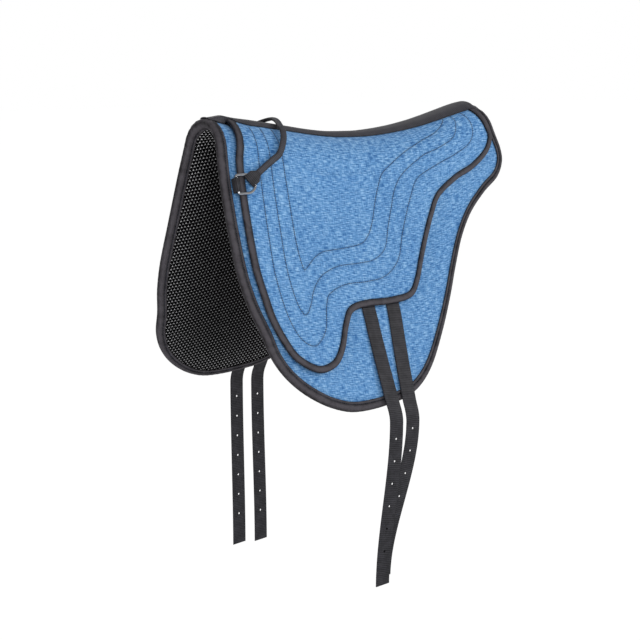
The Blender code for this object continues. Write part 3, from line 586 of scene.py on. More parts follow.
@dataclass
class Stack:
    """Thicknesses and clearances of the layers, from the horse outwards."""

    gap: float = 0.0004
    lining: float = 0.003
    foam: float = 0.008
    cover: float = 0.0012
    web_clearance: float = 0.0010
    web: float = 0.0018
    seat_clearance: float = 0.0008
    seat_foam: float = 0.003
    quilt: float = 0.0014
    tape: float = 0.0013
    strip: float = 0.0016
    strip_clearance: float = 0.0012

    def __post_init__(self) -> None:
        """Add up the lifts of the layers' lower and upper faces."""
        self.foam_low: float = self.lining + self.gap
        self.foam_high: float = self.foam_low + self.foam
        self.cover_low: float = self.foam_high + self.gap
        self.cover_high: float = self.cover_low + self.cover
        self.web_low: float = self.cover_high + self.web_clearance
        self.web_high: float = self.web_low + self.web
        self.seat_tape_low: float = self.web_high + self.seat_clearance
        self.seat_foam_low: float = self.seat_tape_low + self.tape + self.gap
        self.seat_foam_high: float = self.seat_foam_low + self.seat_foam
        self.quilt_low: float = self.seat_foam_high + self.gap
        self.quilt_edge: float = self.quilt_low + self.quilt
        self.seat_tape_high: float = self.quilt_edge + self.gap + self.tape
        self.base_tape_high: float = self.cover_high + self.gap + self.tape
        self.base_tape_low: float = -self.gap - self.tape
        self.strip_on_seat: float = self.seat_tape_high + self.strip_clearance
        self.strip_on_base: float = self.base_tape_high + self.strip_clearance


FORM = BackForm()
STACK = Stack()


def smooth_path(points: Array, steps: Sequence[int]) -> Array:
    """Read a smooth curve through points of any dimension.

    Args:
        points: the points, one row each.
        steps: how many steps each stretch is read in.

    Returns:
        The points of the curve.
    """
    chord = np.sqrt(np.linalg.norm(np.diff(points, axis=0), axis=1))
    knots = np.concatenate([[0], np.cumsum(chord)])
    index = np.arange(len(points))
    before, after = np.maximum(index - 1, 0), np.minimum(index + 1, len(points) - 1)
    tangent = (points[after] - points[before]) / (knots[after] - knots[before])[:, None]
    path = [points[:1]]
    for i, count in enumerate(steps):
        t = (np.arange(1, count + 1) / count)[:, None]
        span = knots[i + 1] - knots[i]
        path.append(
            points[i] * (1 + 2 * t) * (1 - t) ** 2 + points[i + 1] * t * t * (3 - 2 * t)
            + tangent[i] * span * t * (1 - t) ** 2 - tangent[i + 1] * span * t * t * (1 - t)
        )
    return np.concatenate(path)


def travelled(path: Array) -> Array:
    """Distance along a path to each of its points."""
    return np.concatenate([[0], np.cumsum(np.linalg.norm(np.diff(path, axis=0), axis=1))])


def heading(path: Array) -> Array:
    """Step from the point before to the point after, at each point of a path."""
    index = np.arange(len(path))
    return path[np.minimum(index + 1, len(path) - 1)] - path[np.maximum(index - 1, 0)]


def ridge_feet(line: Array, inset: float) -> Array:
    """Places on the ridge that match a line's points, drawn in at both ends."""
    travel = travelled(line)
    x = np.interp(travel / travel[-1], (0, 1), (line[0, 0] + inset, line[-1, 0] - inset))
    return np.stack([x, np.zeros(len(line))], axis=1)


def unit(vectors: Array) -> Array:
    """The same directions, each with a length of one."""
    return vectors / np.linalg.norm(vectors, axis=-1, keepdims=True)


def evenly(path: Array, spacing: float, dims: int) -> Array:
    """Space a path's points evenly.

    Args:
        path: the path, whose first dims columns are its place.
        spacing: the distance wanted between points.
        dims: how many columns make up the place.

    Returns:
        The path again, every column read at even distances.
    """
    along = travelled(path[:, :dims])
    at = np.linspace(0, along[-1], max(2, round(along[-1] / spacing) + 1))
    return np.stack([np.interp(at, along, column) for column in path.T], axis=1)


def outline(shares: Sequence, length: float, drop: float, detail: int) -> Array:
    """Outline on one half of the pad.

    Args:
        shares: its points, as shares of the length and the drop.
        length: the length along the spine.
        drop: the distance down from the ridge.
        detail: steps in each stretch.

    Returns:
        Rows of (x, drop), the first and last on the ridge.
    """
    corners = np.array(shares, float) * (length, drop)
    path = smooth_path(corners, [detail] * (len(corners) - 1))
    path[:, 1] = np.maximum(path[:, 1], 0)
    path[[0, -1], 1] = 0
    return path


def inward(path: Array) -> Array:
    """Unit vectors square to an outline, pointing into the pad."""
    along = heading(path)
    normal = unit(np.stack([along[:, 1], -along[:, 0]], axis=1))
    normal[0], normal[-1] = (1, 0), (-1, 0)
    return normal


def ripple(places: Array, size: float, seed: float) -> Array:
    """Gentle unevenness of cloth, from -1 to 1, the same each time.

    Args:
        places: rows of (x, drop).
        size: the distance between its swells.
        seed: a number that shifts the pattern.

    Returns:
        One value for each place.
    """
    u, v = places[..., 0] / size, places[..., 1] / size
    waves = (
        np.sin(2.1 * u + 1.3 * v + seed) + np.sin(1.2 * v - 2.6 * u + 2 * seed)
        + np.sin(3.9 * u + 3.1 * v + 3 * seed) * 0.6 + np.sin(4.4 * v - 1.7 * u + 5 * seed) * 0.6
    )
    return waves / 3.2


def distance_to(path: Array, places: Array) -> Array:
    """Distance of each place from a path, in the flat of the pad."""
    flat = places.reshape(-1, 2)
    best = np.full(len(flat), np.inf)
    for first, second in zip(path, path[1:]):
        step = second - first
        share = np.clip(((flat - first) @ step) / max(step @ step, 1e-12), 0, 1)
        best = np.minimum(best, np.linalg.norm(flat - first - share[:, None] * step, axis=1))
    return best.reshape(places.shape[:-1])


def deselect_all() -> None:
    """Leave nothing selected, so that the next operator has only its own piece."""
    for thing in bpy.context.selected_objects:
        thing.select_set(False)


def make_mesh(name: str, points: Array, faces: Sequence, finish: Finish,
              cloth: Array | None = None) -> bpy.types.Object:
    """Make a closed piece from points and faces, its faces turned outwards.

    Args:
        name: the piece's name.
        points: its points, one row each.
        faces: index tuples into the points.
        finish: what it is finished in.
        cloth: for each point, its place on the flat cloth in metres.

    Returns:
        The new object, at the origin.
    """
    mesh = bpy.data.meshes.new(name)
    mesh.from_pydata([tuple(p) for p in points], [], [tuple(f) for f in faces])
    if cloth is not None:
        layer = mesh.uv_layers.new(name="cloth")
        corner = np.zeros(len(mesh.loops), np.int32)
        mesh.loops.foreach_get("vertex_index", corner)
        layer.data.foreach_set("uv", cloth[corner].astype(np.float32).ravel())
    bm = bmesh.new()
    bm.from_mesh(mesh)
    bmesh.ops.recalc_face_normals(bm, faces=bm.faces)
    bm.to_mesh(mesh)
    bm.free()
    mesh.materials.append(finish.material())
    mesh.shade_smooth()
    made = bpy.data.objects.new(name, mesh)
    bpy.context.scene.collection.objects.link(made)
    return made


def grid_faces(rows: int, columns: int, start: int = 0) -> list[tuple[int, int, int, int]]:
    """Quads of a grid of points numbered row by row."""
    return [
        (start + r * columns + c, start + r * columns + c + 1,
         start + (r + 1) * columns + c + 1, start + (r + 1) * columns + c)
        for r in range(rows - 1) for c in range(columns - 1)
    ]


def rim_of(rows: int, columns: int) -> list[int]:
    """Indices round the edge of a grid of points."""
    first = list(range(columns))
    right = [r * columns + columns - 1 for r in range(1, rows)]
    last = [(rows - 1) * columns + c for c in range(columns - 2, -1, -1)]
    left = [r * columns for r in range(rows - 2, 0, -1)]
    return first + right + last + left


def slab(name: str, top: Array, bottom: Array, places: Array, finish: Finish) -> bpy.types.Object:
    """Make a closed layer between two grids of points.

    Args:
        name: the piece's name.
        top: rows of columns of outer points.
        bottom: the same for the inner points.
        places: the (x, drop) of each grid point, for the cloth's own map.
        finish: what it is finished in.

    Returns:
        The new object.
    """
    rows, columns = top.shape[:2]
    count = rows * columns
    faces = grid_faces(rows, columns) + grid_faces(rows, columns, count)
    rim = rim_of(rows, columns)
    faces += [(a, b, b + count, a + count) for a, b in zip(rim, rim[1:] + rim[:1])]
    points = np.concatenate([top.reshape(-1, 3), bottom.reshape(-1, 3)])
    flat = places.reshape(-1, 2)
    return make_mesh(name, points, faces, finish, np.concatenate([flat, flat]))


def sweep(name: str, rings: Array, finish: Finish, around: Array, along: Array) -> bpy.types.Object:
    """Make a closed piece through rings of points, capped at both ends.

    Args:
        name: the piece's name.
        rings: rings of points, all of one count.
        finish: what it is finished in.
        around: each ring point's distance round the ring, for the cloth's map.
        along: each ring's distance along the piece.

    Returns:
        The new object.
    """
    count, size = rings.shape[:2]
    faces = [
        (r * size + i, r * size + (i + 1) % size, (r + 1) * size + (i + 1) % size, (r + 1) * size + i)
        for r in range(count - 1) for i in range(size)
    ]
    faces += [tuple(range(size)), tuple((count - 1) * size + i for i in range(size))]
    flat = np.stack(np.broadcast_arrays(around[None, :], along[:, None]), axis=-1).reshape(-1, 2)
    return make_mesh(name, rings.reshape(-1, 3), faces, finish, flat)


def strap_section(width: float, thickness: float, columns: int) -> tuple[Array, Array]:
    """Section of a flat strap with rounded selvedges.

    Args:
        width: its width.
        thickness: its thickness.
        columns: how many points across.

    Returns:
        Reach across and height of each point, going once round.
    """
    reach = np.sin(np.linspace(-math.pi / 2, math.pi / 2, columns)) * width / 2
    from_edge = np.clip((width / 2 - np.abs(reach)) / (thickness * 0.6), 0, 1)
    height = thickness / 2 * np.sqrt(1 - (1 - from_edge) ** 2)
    return (
        np.concatenate([reach, reach[-2:0:-1]]),
        np.concatenate([height, -height[-2:0:-1]]),
    )


def strap(name: str, path: Array, facing: Array, width: Array | float, thickness: float, finish: Finish,
          rib: float = 0.0, ribs_apart: float = 0.0028, columns: int = 11) -> bpy.types.Object:
    """Sweep a flat woven strap, ribbed across, along a path.

    Args:
        name: the piece's name.
        path: the middle of the strap, one row a station.
        facing: the direction that the strap's face looks in at each station.
        width: its width, for all stations or for each.
        thickness: its thickness.
        finish: what it is finished in.
        rib: how much the ribs thicken and thin it, as a share.
        ribs_apart: the distance between ribs.
        columns: how many points across.

    Returns:
        The new object.
    """
    tangent = unit(heading(path))
    across = unit(np.cross(tangent, facing))
    up = np.cross(across, tangent)
    along = travelled(path)
    widths = np.broadcast_to(np.asarray(width, float), along.shape)
    reach, height = strap_section(float(widths.max()), thickness, columns)
    inner = np.abs(reach) < widths.max() / 2 - thickness
    swell = 1 + rib * np.cos(2 * math.pi * along / ribs_apart)[:, None] * inner[None, :]
    narrow = (widths / widths.max())[:, None]
    rings = (
        path[:, None] + across[:, None] * (reach[None, :] * narrow)[..., None]
        + up[:, None] * (height[None, :] * swell)[..., None]
    )
    return sweep(name, rings, finish, reach, along)


def stitch_row(name: str, path: Array, facing: Array, length: float = 0.0038, gap: float = 0.0006,
               radius: float = 0.00045) -> bpy.types.Object:
    """Sew one row of lockstitches along a path on a surface.

    Args:
        name: the piece's name.
        path: where the thread lies, one row a station.
        facing: the surface's normal at each station.
        length: the length of a stitch.
        gap: the hole between two stitches.
        radius: the thread's radius.

    Returns:
        The new object, one closed body a stitch.
    """
    spots = evenly(np.concatenate([path, facing], axis=1), (length + gap) / 2, 3)
    centres, up = spots[1:-1:2, :3], spots[1:-1:2, 3:]
    along = unit(spots[2::2, :3][:len(centres)] - spots[0:-2:2, :3][:len(centres)])
    up = unit(up)
    across = np.cross(up, along)
    profile = ((-0.5, -0.9, 0.55), (-0.3, 0.15, 1.0), (0.3, 0.15, 1.0), (0.5, -0.9, 0.55))
    points, faces = [], []
    for share, height, fat in profile:
        for turn in (0.25, 0.75, 1.25, 1.75):
            sway = math.cos(turn * math.pi) * radius * fat
            rise = (math.sin(turn * math.pi) * fat + height) * radius
            points.append(centres + along * length * share + across * sway + up * rise)
    for ring in range(len(profile) - 1):
        for corner in range(4):
            after = (corner + 1) % 4
            faces.append((ring * 4 + corner, ring * 4 + after, ring * 4 + 4 + after, ring * 4 + 4 + corner))
    faces += [(0, 1, 2, 3), (12, 13, 14, 15)]
    size = len(points)
    every = np.stack(points, axis=1).reshape(-1, 3)
    all_faces = [tuple(size * k + i for i in face) for k in range(len(centres)) for face in faces]
    return make_mesh(name, every, all_faces, THREAD)


def sew(name: str, places: Array, lift: Array | float, side: Side, face: int = 1,
        radius: float = 0.00045) -> None:
    """Sew a row of stitches on the pad.

    Args:
        name: the piece's name.
        places: rows of (x, drop) that the row runs through.
        lift: the lift of the surface sewn.
        side: which half of the pad.
        face: 1 for a surface that looks outwards and -1 for one that looks inwards.
        radius: the thread's radius.
    """
    row = stitch_row(name, FORM.lay(places, lift, side), FORM.facing(places, side) * face, radius=radius)
    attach(row, "pad")


def inset(path: Array, distance: float) -> Array:
    """An outline drawn inwards, kept clear of the ridge."""
    places = path + inward(path) * distance
    places[:, 1] = np.maximum(places[:, 1], RIDGE_CLEARANCE)
    return places


def tape_section(inner: float, outer: float, low: float, high: float, wall: float, bulge: float,
                 groove: float = 0.0) -> Array:
    """Section of a binding tape rolled round a padded edge.

    Args:
        inner: how far in from the outline its legs reach.
        outer: how far out from the outline its fold reaches.
        low: lift of its inside face.
        high: lift of its outside face.
        wall: thickness of the tape.
        bulge: how far its legs swell.
        groove: share of the leg, from its free edge, where a seam draws it in.

    Returns:
        Rows of (reach inwards, lift, painted highlight), going once round the
        folded tape.
    """
    middle, half = (high + low) / 2, (high - low) / 2
    deep = half * 0.8
    shoulder = deep - outer

    def skin(off: float) -> list[tuple[float, float]]:
        legs = np.linspace(inner, shoulder, 14 if groove else 6)[:-1]
        share = (inner - legs) / (inner - shoulder)
        flange = np.sin(np.minimum(share / groove, 1) * math.pi) * 0.6 if groove else 0.0
        pillow = np.sin(np.maximum(share - groove, 0) / (1 - groove) * math.pi)
        drawn = GROOVE_DEPTH * np.exp(-((share - groove) / GROOVE_SHARE) ** 2) if groove else 0.0
        swell = bulge * (pillow + flange) - drawn - off
        upper = list(zip(legs, middle + half + swell))
        turn = np.linspace(math.pi / 2, -math.pi / 2, 13)
        fold = list(zip(shoulder - (deep - off) * np.cos(turn), middle + (half - off) * np.sin(turn)))
        lower = [(reach, 2 * middle - lift) for reach, lift in reversed(upper)]
        return upper + fold + lower

    rows = np.array(skin(0.0) + skin(wall)[::-1])
    seam = inner - groove * (inner - shoulder)
    out = np.clip((rows[:, 0] + outer) / (seam + outer), 0, 1)
    flange = np.clip((rows[:, 0] - seam) / max(inner - seam, wall), 0, 1)
    # Painted highlight: the middles of the fold and of the flange are paler, and the tape's edges and seam
    # darker, as light falls on a rounded tape.
    crown = np.sin(math.pi * out ** 0.65) + 0.25 * (1 - out) + np.sin(math.pi * flange)
    return np.column_stack([rows, crown])


@dataclass(frozen=True)
class Pucker:
    """Small slanting creases of a tape that is eased round a curve."""

    apart: float = 0.011
    drift: float = 0.031
    patch: float = 0.047
    slant: float = 0.9
    ridge_share: float = 1.6
    ridge_reach: float = 0.08
    end_fade: float = 0.02

    def height(self, along: Array, section: Array, drop: Array) -> Array:
        """How high the creases stand, as a share of their height.

        Args:
            along: distance along the tape of each of its rings.
            section: the tape's section, whose first column is the reach inwards.
            drop: each ring's distance down from the ridge.

        Returns:
            Rows of rings and columns of section points.
        """
        turn = along[:, None] + self.slant * section[None, :, 0]
        near_ridge = 1 + self.ridge_share * np.exp(-(drop[:, None] / self.ridge_reach) ** 2)
        waves = np.sin(2 * math.pi * turn / self.apart + 2.0 * np.sin(turn / self.drift))
        fade = np.clip(np.minimum(along, along[-1] - along)[:, None] / self.end_fade, 0, 1)
        return near_ridge * waves * (0.55 + 0.45 * np.sin(turn / self.patch + 1.0)) * fade


PUCKER = Pucker()


def tape(name: str, path: Array, section: Array, side: Side, pucker: float) -> bpy.types.Object:
    """Sweep a binding tape's section round an outline.

    Args:
        name: the piece's name.
        path: the outline, as (x, drop).
        section: rows of (reach inwards, lift, painted highlight).
        side: which half of the pad.
        pucker: the height of the tape's small creases.

    Returns:
        The new object.
    """
    along = travelled(path)
    normal = inward(path)
    spots = path[:, None] + normal[:, None] * section[None, :, 0, None]
    spots[..., 1] = np.maximum(spots[..., 1], TAPE_CLEARANCE)
    middle = (section[:, 1].max() + section[:, 1].min()) / 2
    outwards = np.sign(section[:, 1] - middle)
    lift = section[None, :, 1] + pucker * PUCKER.height(along, section, path[:, 1]) * outwards[None, :]
    rings = FORM.lay(spots, lift, side)
    made = sweep(name, rings, BINDING, travelled(section[:, :2]), along)
    mark_points(made, "crown", np.tile(section[:, 2], len(rings)))
    return made


def mark_points(piece: bpy.types.Object, name: str, values: Array) -> None:
    """Give each point of a piece a value for its material to read.

    Args:
        piece: the piece.
        name: the attribute's name.
        values: one value a point.
    """
    mark = piece.data.attributes.new(name, "FLOAT", "POINT")
    mark.data.foreach_set("value", np.asarray(values, np.float32).ravel())


def dress(piece: bpy.types.Object, body: str, slot: str, *nodes: str) -> bpy.types.Object:
    """Tie a piece to its body and hide the nodes that it stands for."""
    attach(piece, body)
    if nodes:
        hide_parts(*nodes)
    return piece


@dataclass
class BasePad:
    """The padded base: mesh lining, foam core, denim cover and edge binding."""

    length: float = 0.655
    drop: float = 0.543
    tape_width: float = 0.016
    detail: int = 8
    cell: float = 0.0072
    grain: float = math.radians(-19.0)
    hole: tuple[float, float] = (0.0028, 0.0021)
    knot_rise: float = 0.0003
    strand_sink: float = 0.00015
    hole_sink: float = 0.0006
    pit_sink: float = 0.0021
    mesh_skin: float = 0.0006
    mesh_margin: float = 0.006
    pillow: float = 0.0014
    pillow_fall: float = 0.009
    mesh_light_reach: float = 0.05
    top_light_reach: float = 0.14
    mesh_shade_share: float = 0.76
    seam_share: float = 0.55
    seam_margin: float = 0.005
    thread_sink: float = 0.0006
    tape_bulge: float = 0.0005
    tape_pucker: float = 0.00026
    tape_inside: float = 0.002
    foot_inset: float = 0.012
    cover_margin: float = 0.007
    cover_swell: float = 0.0005
    swell_fall: float = 0.012
    cover_ease: float = 0.0002
    cover_wave: float = 0.00012
    wave_apart: float = 0.05
    seam_shade_reach: float = 0.003
    foam_margin: float = 0.0024
    foam_edge_share: float = 0.45

    def edge(self) -> Array:
        """Outline of one half, as (x, drop)."""
        return outline(BASE_OUTLINE_SHARES, self.length, self.drop, self.detail)

    def flat_area(self) -> float:
        """Area of one half's flat cut, in square metres."""
        x, d = self.edge().T
        return abs(float(np.sum(x * np.roll(d, -1) - d * np.roll(x, -1)))) / 2

    def rows(self, start: float, count: int) -> Array:
        """Rows of places from near the outline to the ridge.

        Args:
            start: how far in from the outline the first row lies.
            count: how many rows.

        Returns:
            Rows of columns of (x, drop).
        """
        path = self.edge()
        normal = inward(path)
        first = path + normal * start
        second = path + normal * (self.tape_width + self.tape_inside)
        first[:, 1], second[:, 1] = np.maximum(first[:, 1], 0), np.maximum(second[:, 1], 0)
        feet = ridge_feet(second, self.foot_inset)
        shares = np.linspace(0, 1, count)[:, None, None]
        return np.concatenate([first[None], second[None] * (1 - shares) + feet[None] * shares])

    def cover(self, side: Side, seat_edge: Array) -> None:
        """Denim cover, drawn down at the binding and at the seat's edge."""
        places = self.rows(self.cover_margin, 46)
        away = np.minimum(
            distance_to(self.edge(), places) - self.tape_width,
            np.abs(distance_to(seat_edge, places)),
        )
        swell = self.cover_swell * (1 - np.exp(-np.maximum(away, 0) / self.swell_fall))
        wave = self.cover_wave * ripple(places, self.wave_apart, 1.0)
        top = FORM.lay(places, STACK.cover_high + swell - self.cover_ease + wave, side)
        bottom = FORM.lay(places, STACK.cover_low, side)
        made = slab(f"{side.word}_denim_cover", top, bottom, places, DENIM)
        # Painted shade, partly less-faded dye: the denim deepens in blue next to the bindings and the seat's
        # edge.
        mark_points(made, "seam", np.tile(0.5 * np.exp(-np.maximum(away, 0) / self.seam_shade_reach).ravel(), 2))
        dress(made, "pad", "denim", f"{side.word}_base_cover")
        self.flat_area()

    def foam(self, side: Side) -> None:
        """Foam core, its edge rounded where the tape rolls round it."""
        places = self.rows(self.foam_margin, 14)
        middle = (STACK.foam_low + STACK.foam_high) / 2
        half = (STACK.foam_high - STACK.foam_low) / 2
        full = np.ones(places.shape[:2])
        full[0] = self.foam_edge_share
        top = FORM.lay(places, middle + half * full, side)
        bottom = FORM.lay(places, middle - half * full, side)
        made = slab(f"{side.word}_foam_slab", top, bottom, places, FOAM)
        dress(made, "pad", "foam", f"{side.word}_foam_core")

    def lining(self, side: Side, seam: Array) -> None:
        """Spacer mesh lining: open cells, pulled in along the seat's seam."""
        path = self.edge()
        limit = path + inward(path) * self.mesh_margin
        lean = np.array([[math.cos(self.grain), math.sin(self.grain)],
                         [-math.sin(self.grain), math.cos(self.grain)]])
        reach = int(self.length / self.cell)
        j, i = np.meshgrid(np.arange(-reach, reach), np.arange(-reach, reach), indexing="ij")
        centres = np.stack([self.cell * (i + 0.5 * (j % 2)), self.cell * math.sqrt(3) / 2 * j], axis=-1)
        centres = centres.reshape(-1, 2) @ lean
        centres = centres[self.inside(limit, centres)]
        turn = np.radians(30 + 60 * np.arange(6))
        around = np.stack([np.cos(turn), np.sin(turn)], axis=1)
        corners = (centres[:, None] + (around * self.cell / math.sqrt(3)) @ lean).reshape(-1, 2)
        _, first, index = np.unique(
            np.round(corners / CORNER_MATCH).astype(int), axis=0, return_index=True, return_inverse=True)
        shared = corners[first]
        index = index.reshape(-1, 6)
        knot = first % 2 == 0
        count, cells = len(shared), len(centres)
        rim = (centres[:, None] + (around * self.hole) @ lean).reshape(-1, 2)
        flat = np.concatenate([shared, rim, centres])
        flat[:, 1] = np.maximum(flat[:, 1], 0)
        # Painted highlight and shade: depth 0 marks the knots drawn pale, and 1 the pits drawn near black.
        depth = np.concatenate([np.where(knot, 0.0, 0.4), np.full(6 * cells, 0.7), np.ones(cells)])
        sink = np.concatenate([
            np.where(knot, -self.knot_rise, self.strand_sink), np.full(6 * cells, self.hole_sink),
            np.full(cells, self.pit_sink)])
        slack = np.maximum(distance_to(path, flat) - self.tape_width, 0)
        pillow = -self.pillow * (1 - np.exp(-np.minimum(distance_to(seam, flat), slack) / self.pillow_fall))
        front = FORM.lay(flat, self.mesh_skin + pillow + sink, side)
        back = FORM.place(shared[:, 0], np.maximum(shared[:, 1], 0), STACK.lining, side)
        faces = []
        for k in range(cells):
            ring, hole, pit = index[k], count + 6 * k, count + 6 * cells + k
            for c in range(6):
                n = (c + 1) % 6
                faces.append((ring[c], ring[n], hole + n, hole + c))
                faces.append((hole + c, hole + n, pit))
        back_start = len(flat)
        edges: dict[tuple[int, int], int] = {}
        for ring in index:
            faces.append(tuple(back_start + v for v in ring))
            for a, b in zip(ring, np.roll(ring, -1)):
                key = (min(a, b), max(a, b))
                edges[key] = edges.get(key, 0) + 1
        faces += [(a, b, b + back_start, a + back_start) for (a, b), uses in edges.items() if uses == 1]
        made = make_mesh(f"{side.word}_spacer_mesh_lining", np.concatenate([front, back]), faces, MESH,
                         np.concatenate([flat, shared]))
        mark_points(made, "depth", np.concatenate([depth, np.zeros(count)]))
        # Painted shade: the dull mark darkens the knots away from the pad's edge and lower down; they stay
        # bright near the edge and the ridge.
        top_light = np.minimum(0.4 + 0.9 * np.exp(-flat[:, 1] / self.top_light_reach), 1)
        mesh_lit = np.exp(-slack / self.mesh_light_reach) * top_light
        mark_points(made, "dull", np.concatenate([self.mesh_shade_share * (1 - mesh_lit), np.zeros(count)]))
        dress(made, "pad", "spacer_mesh", f"{side.word}_mesh_lining")

    @staticmethod
    def inside(path: Array, places: Array) -> Array:
        """Which places lie between an outline and the ridge."""
        x, d = places[:, 0], places[:, 1]
        odd = np.zeros(len(places), bool)
        for (x0, d0), (x1, d1) in zip(path, np.roll(path, -1, axis=0)):
            if d0 != d1:
                crosses = ((d0 > d) != (d1 > d)) & (x < x0 + (x1 - x0) * (d - d0) / (d1 - d0))
                odd ^= crosses
        return odd

    def binding(self, side: Side) -> None:
        """Black tape rolled round the edge, sewn with one row on either face."""
        path = evenly(self.edge(), TAPE_STEP, 2)
        section = tape_section(self.tape_width, 0.0, STACK.base_tape_low, STACK.base_tape_high,
                               STACK.tape, self.tape_bulge, self.seam_share)
        made = tape(f"{side.word}_edge_binding", path, section, side, self.tape_pucker)
        dress(made, "pad", "binding", f"{side.word}_base_binding")
        seam = inset(path, self.tape_width - self.seam_margin)
        for word, lift, face in (("outside", STACK.base_tape_high, 1), ("inside", STACK.base_tape_low, -1)):
            sew(f"{side.word}_edge_stitching_{word}", seam, lift - face * self.thread_sink, side, face)

    def build(self, side: Side, seat_edge: Array) -> None:
        """Build every piece of one half of the base."""
        self.foam(side)
        self.cover(side, seat_edge)
        self.lining(side, seat_edge)
        self.binding(side)


@dataclass
class SeatPanel:
    """The quilted seat panel: thin foam, denim top sewn in channels, binding."""

    length: float = 0.555
    drop: float = 0.470
    tape_width: float = 0.012
    detail: int = 8
    row_apart: float = 0.0062
    strip_half: float = 0.024
    crown: float = 0.0045
    crown_fall: float = 0.007
    start_share: float = 0.35
    sink: float = 0.0004
    strip_fade: float = 0.012
    strip_lap: float = 0.002
    strip_hold: float = 0.003
    deepest: float = 0.0002
    seam_shade_reach: float = 0.002
    tape_ease: float = 0.0004
    tape_bulge: float = 0.00035
    tape_pucker: float = 0.00012
    seam_margin: float = 0.0018
    thread_rise: float = 0.00015
    quilting_rise: float = 0.0001
    quilting_thread: float = 0.00075
    foot_inset: float = 0.012
    foam_inset: float = 0.03
    frames: int = 20

    def curves(self, detail: int) -> list[Array]:
        """Outline and the three stitch lines, matched point by point."""
        tables = (SEAT_OUTLINE_SHARES, OUTER_STITCH_SHARES, MIDDLE_STITCH_SHARES, INNER_STITCH_SHARES)
        return [outline(table, self.length, self.drop, detail) for table in tables]

    def grid(self) -> tuple[Array, Array, Array]:
        """Rows from the outline over the stitch lines to the ridge.

        Returns:
            Places of the grid, how full the quilt is at each row from 0 at a
            stitch line to 1, and which rows are sewn down.
        """
        edge, outer, middle, inner = self.curves(self.detail)
        tape_line = edge + inward(edge) * (self.tape_width / 2 + self.tape_ease)
        tape_line[:, 1] = np.maximum(tape_line[:, 1], 0)
        lines = [edge, tape_line, outer, middle, inner, ridge_feet(inner, self.foot_inset)]
        rows, full, sewn = [edge], [0.0], [True]
        for band, (first, second) in enumerate(zip(lines, lines[1:])):
            widest = np.linalg.norm(second - first, axis=1).max()
            steps = max(1, round(widest / self.row_apart)) if band else 1
            for step in range(1, steps + 1):
                share = step / steps
                rows.append(first * (1 - share) + second * share)
                last = step == steps
                full.append(0.0 if last or not band else math.sin(math.pi * share) ** 0.6)
                sewn.append(last or not band)
        return np.array(rows), np.array(full), np.array(sewn)

    def quilt(self, side: Side) -> None:
        """Denim top, puffed between its stitch lines by a cloth simulation."""
        places, full, sewn = self.grid()
        edge, outer, middle, inner = self.curves(self.detail)
        away = np.minimum.reduce([distance_to(line, places) for line in (outer, middle, inner)])
        away = np.minimum(away, np.maximum(distance_to(edge, places) - self.tape_width / 2, 0))
        strip = np.clip((places[..., 1] - self.strip_half) / self.strip_fade, 0, 1)
        puff = (1 - np.exp(-away / self.crown_fall)) * strip
        start = STACK.quilt_edge - self.sink + self.start_share * self.crown * puff
        on_pad = np.stack([places[..., 0], np.maximum(places[..., 1], 0)], axis=-1)
        top = FORM.lay(on_pad, start, side)
        held = sewn[:, None] | (places[..., 1] < self.strip_half + self.strip_hold)
        held[:, [0, -1]] = True
        out = FORM.facing(places, side)
        rise = np.sum((self.inflate(top, held, side) - top) * out, axis=-1)
        most = STACK.quilt_edge + self.crown * puff - start
        top = top + out * np.clip(rise, -self.deepest, np.maximum(most, 0))[..., None]
        bottom = FORM.lay(on_pad, STACK.quilt_low, side)
        made = slab(f"{side.word}_quilted_top", top, bottom, places, DENIM)
        # Painted shade, partly needle holes and less-faded dye: the denim deepens in blue along the quilting
        # rows and the seat's binding.
        mark_points(made, "seam", np.tile(0.6 * np.exp(-away / self.seam_shade_reach).ravel(), 2))
        dress(made, "pad", "denim", f"{side.word}_seat_quilt")

    def inflate(self, top: Array, held: Array, side: Side) -> Array:
        """Blow the sewn cloth out between its seams.

        Args:
            top: the grid of points before.
            held: which of them are sewn down.
            side: which half of the pad.

        Returns:
            The grid of points after.
        """
        rows, columns = top.shape[:2]
        mesh = bpy.data.meshes.new("cloth")
        faces = grid_faces(rows, columns)
        if side is Side.LEFT:
            faces = [face[::-1] for face in faces]
        mesh.from_pydata([tuple(p) for p in top.reshape(-1, 3)], [], faces)
        cloth = bpy.data.objects.new("cloth", mesh)
        bpy.context.scene.collection.objects.link(cloth)
        group = cloth.vertex_groups.new(name="sewn")
        group.add([int(i) for i in np.flatnonzero(held.ravel())], 1.0, "REPLACE")
        modifier = cloth.modifiers.new("Cloth", "CLOTH")
        settings = modifier.settings
        settings.quality = 5
        settings.mass = 0.1
        settings.vertex_group_mass = "sewn"
        settings.use_pressure = True
        settings.uniform_pressure_force = 4.0
        settings.shrink_min = -0.02
        settings.tension_stiffness = 20
        settings.compression_stiffness = 20
        settings.bending_stiffness = 0.2
        settings.effector_weights.gravity = 0
        modifier.collision_settings.use_collision = False
        scene = bpy.context.scene
        for step in range(1, self.frames + 1):
            scene.frame_set(step)
        shown = cloth.evaluated_get(bpy.context.evaluated_depsgraph_get()).data
        after = np.zeros(len(shown.vertices) * 3, np.float32)
        shown.vertices.foreach_get("co", after)
        bpy.data.objects.remove(cloth)
        scene.frame_set(1)
        return after.reshape(rows, columns, 3).astype(float)

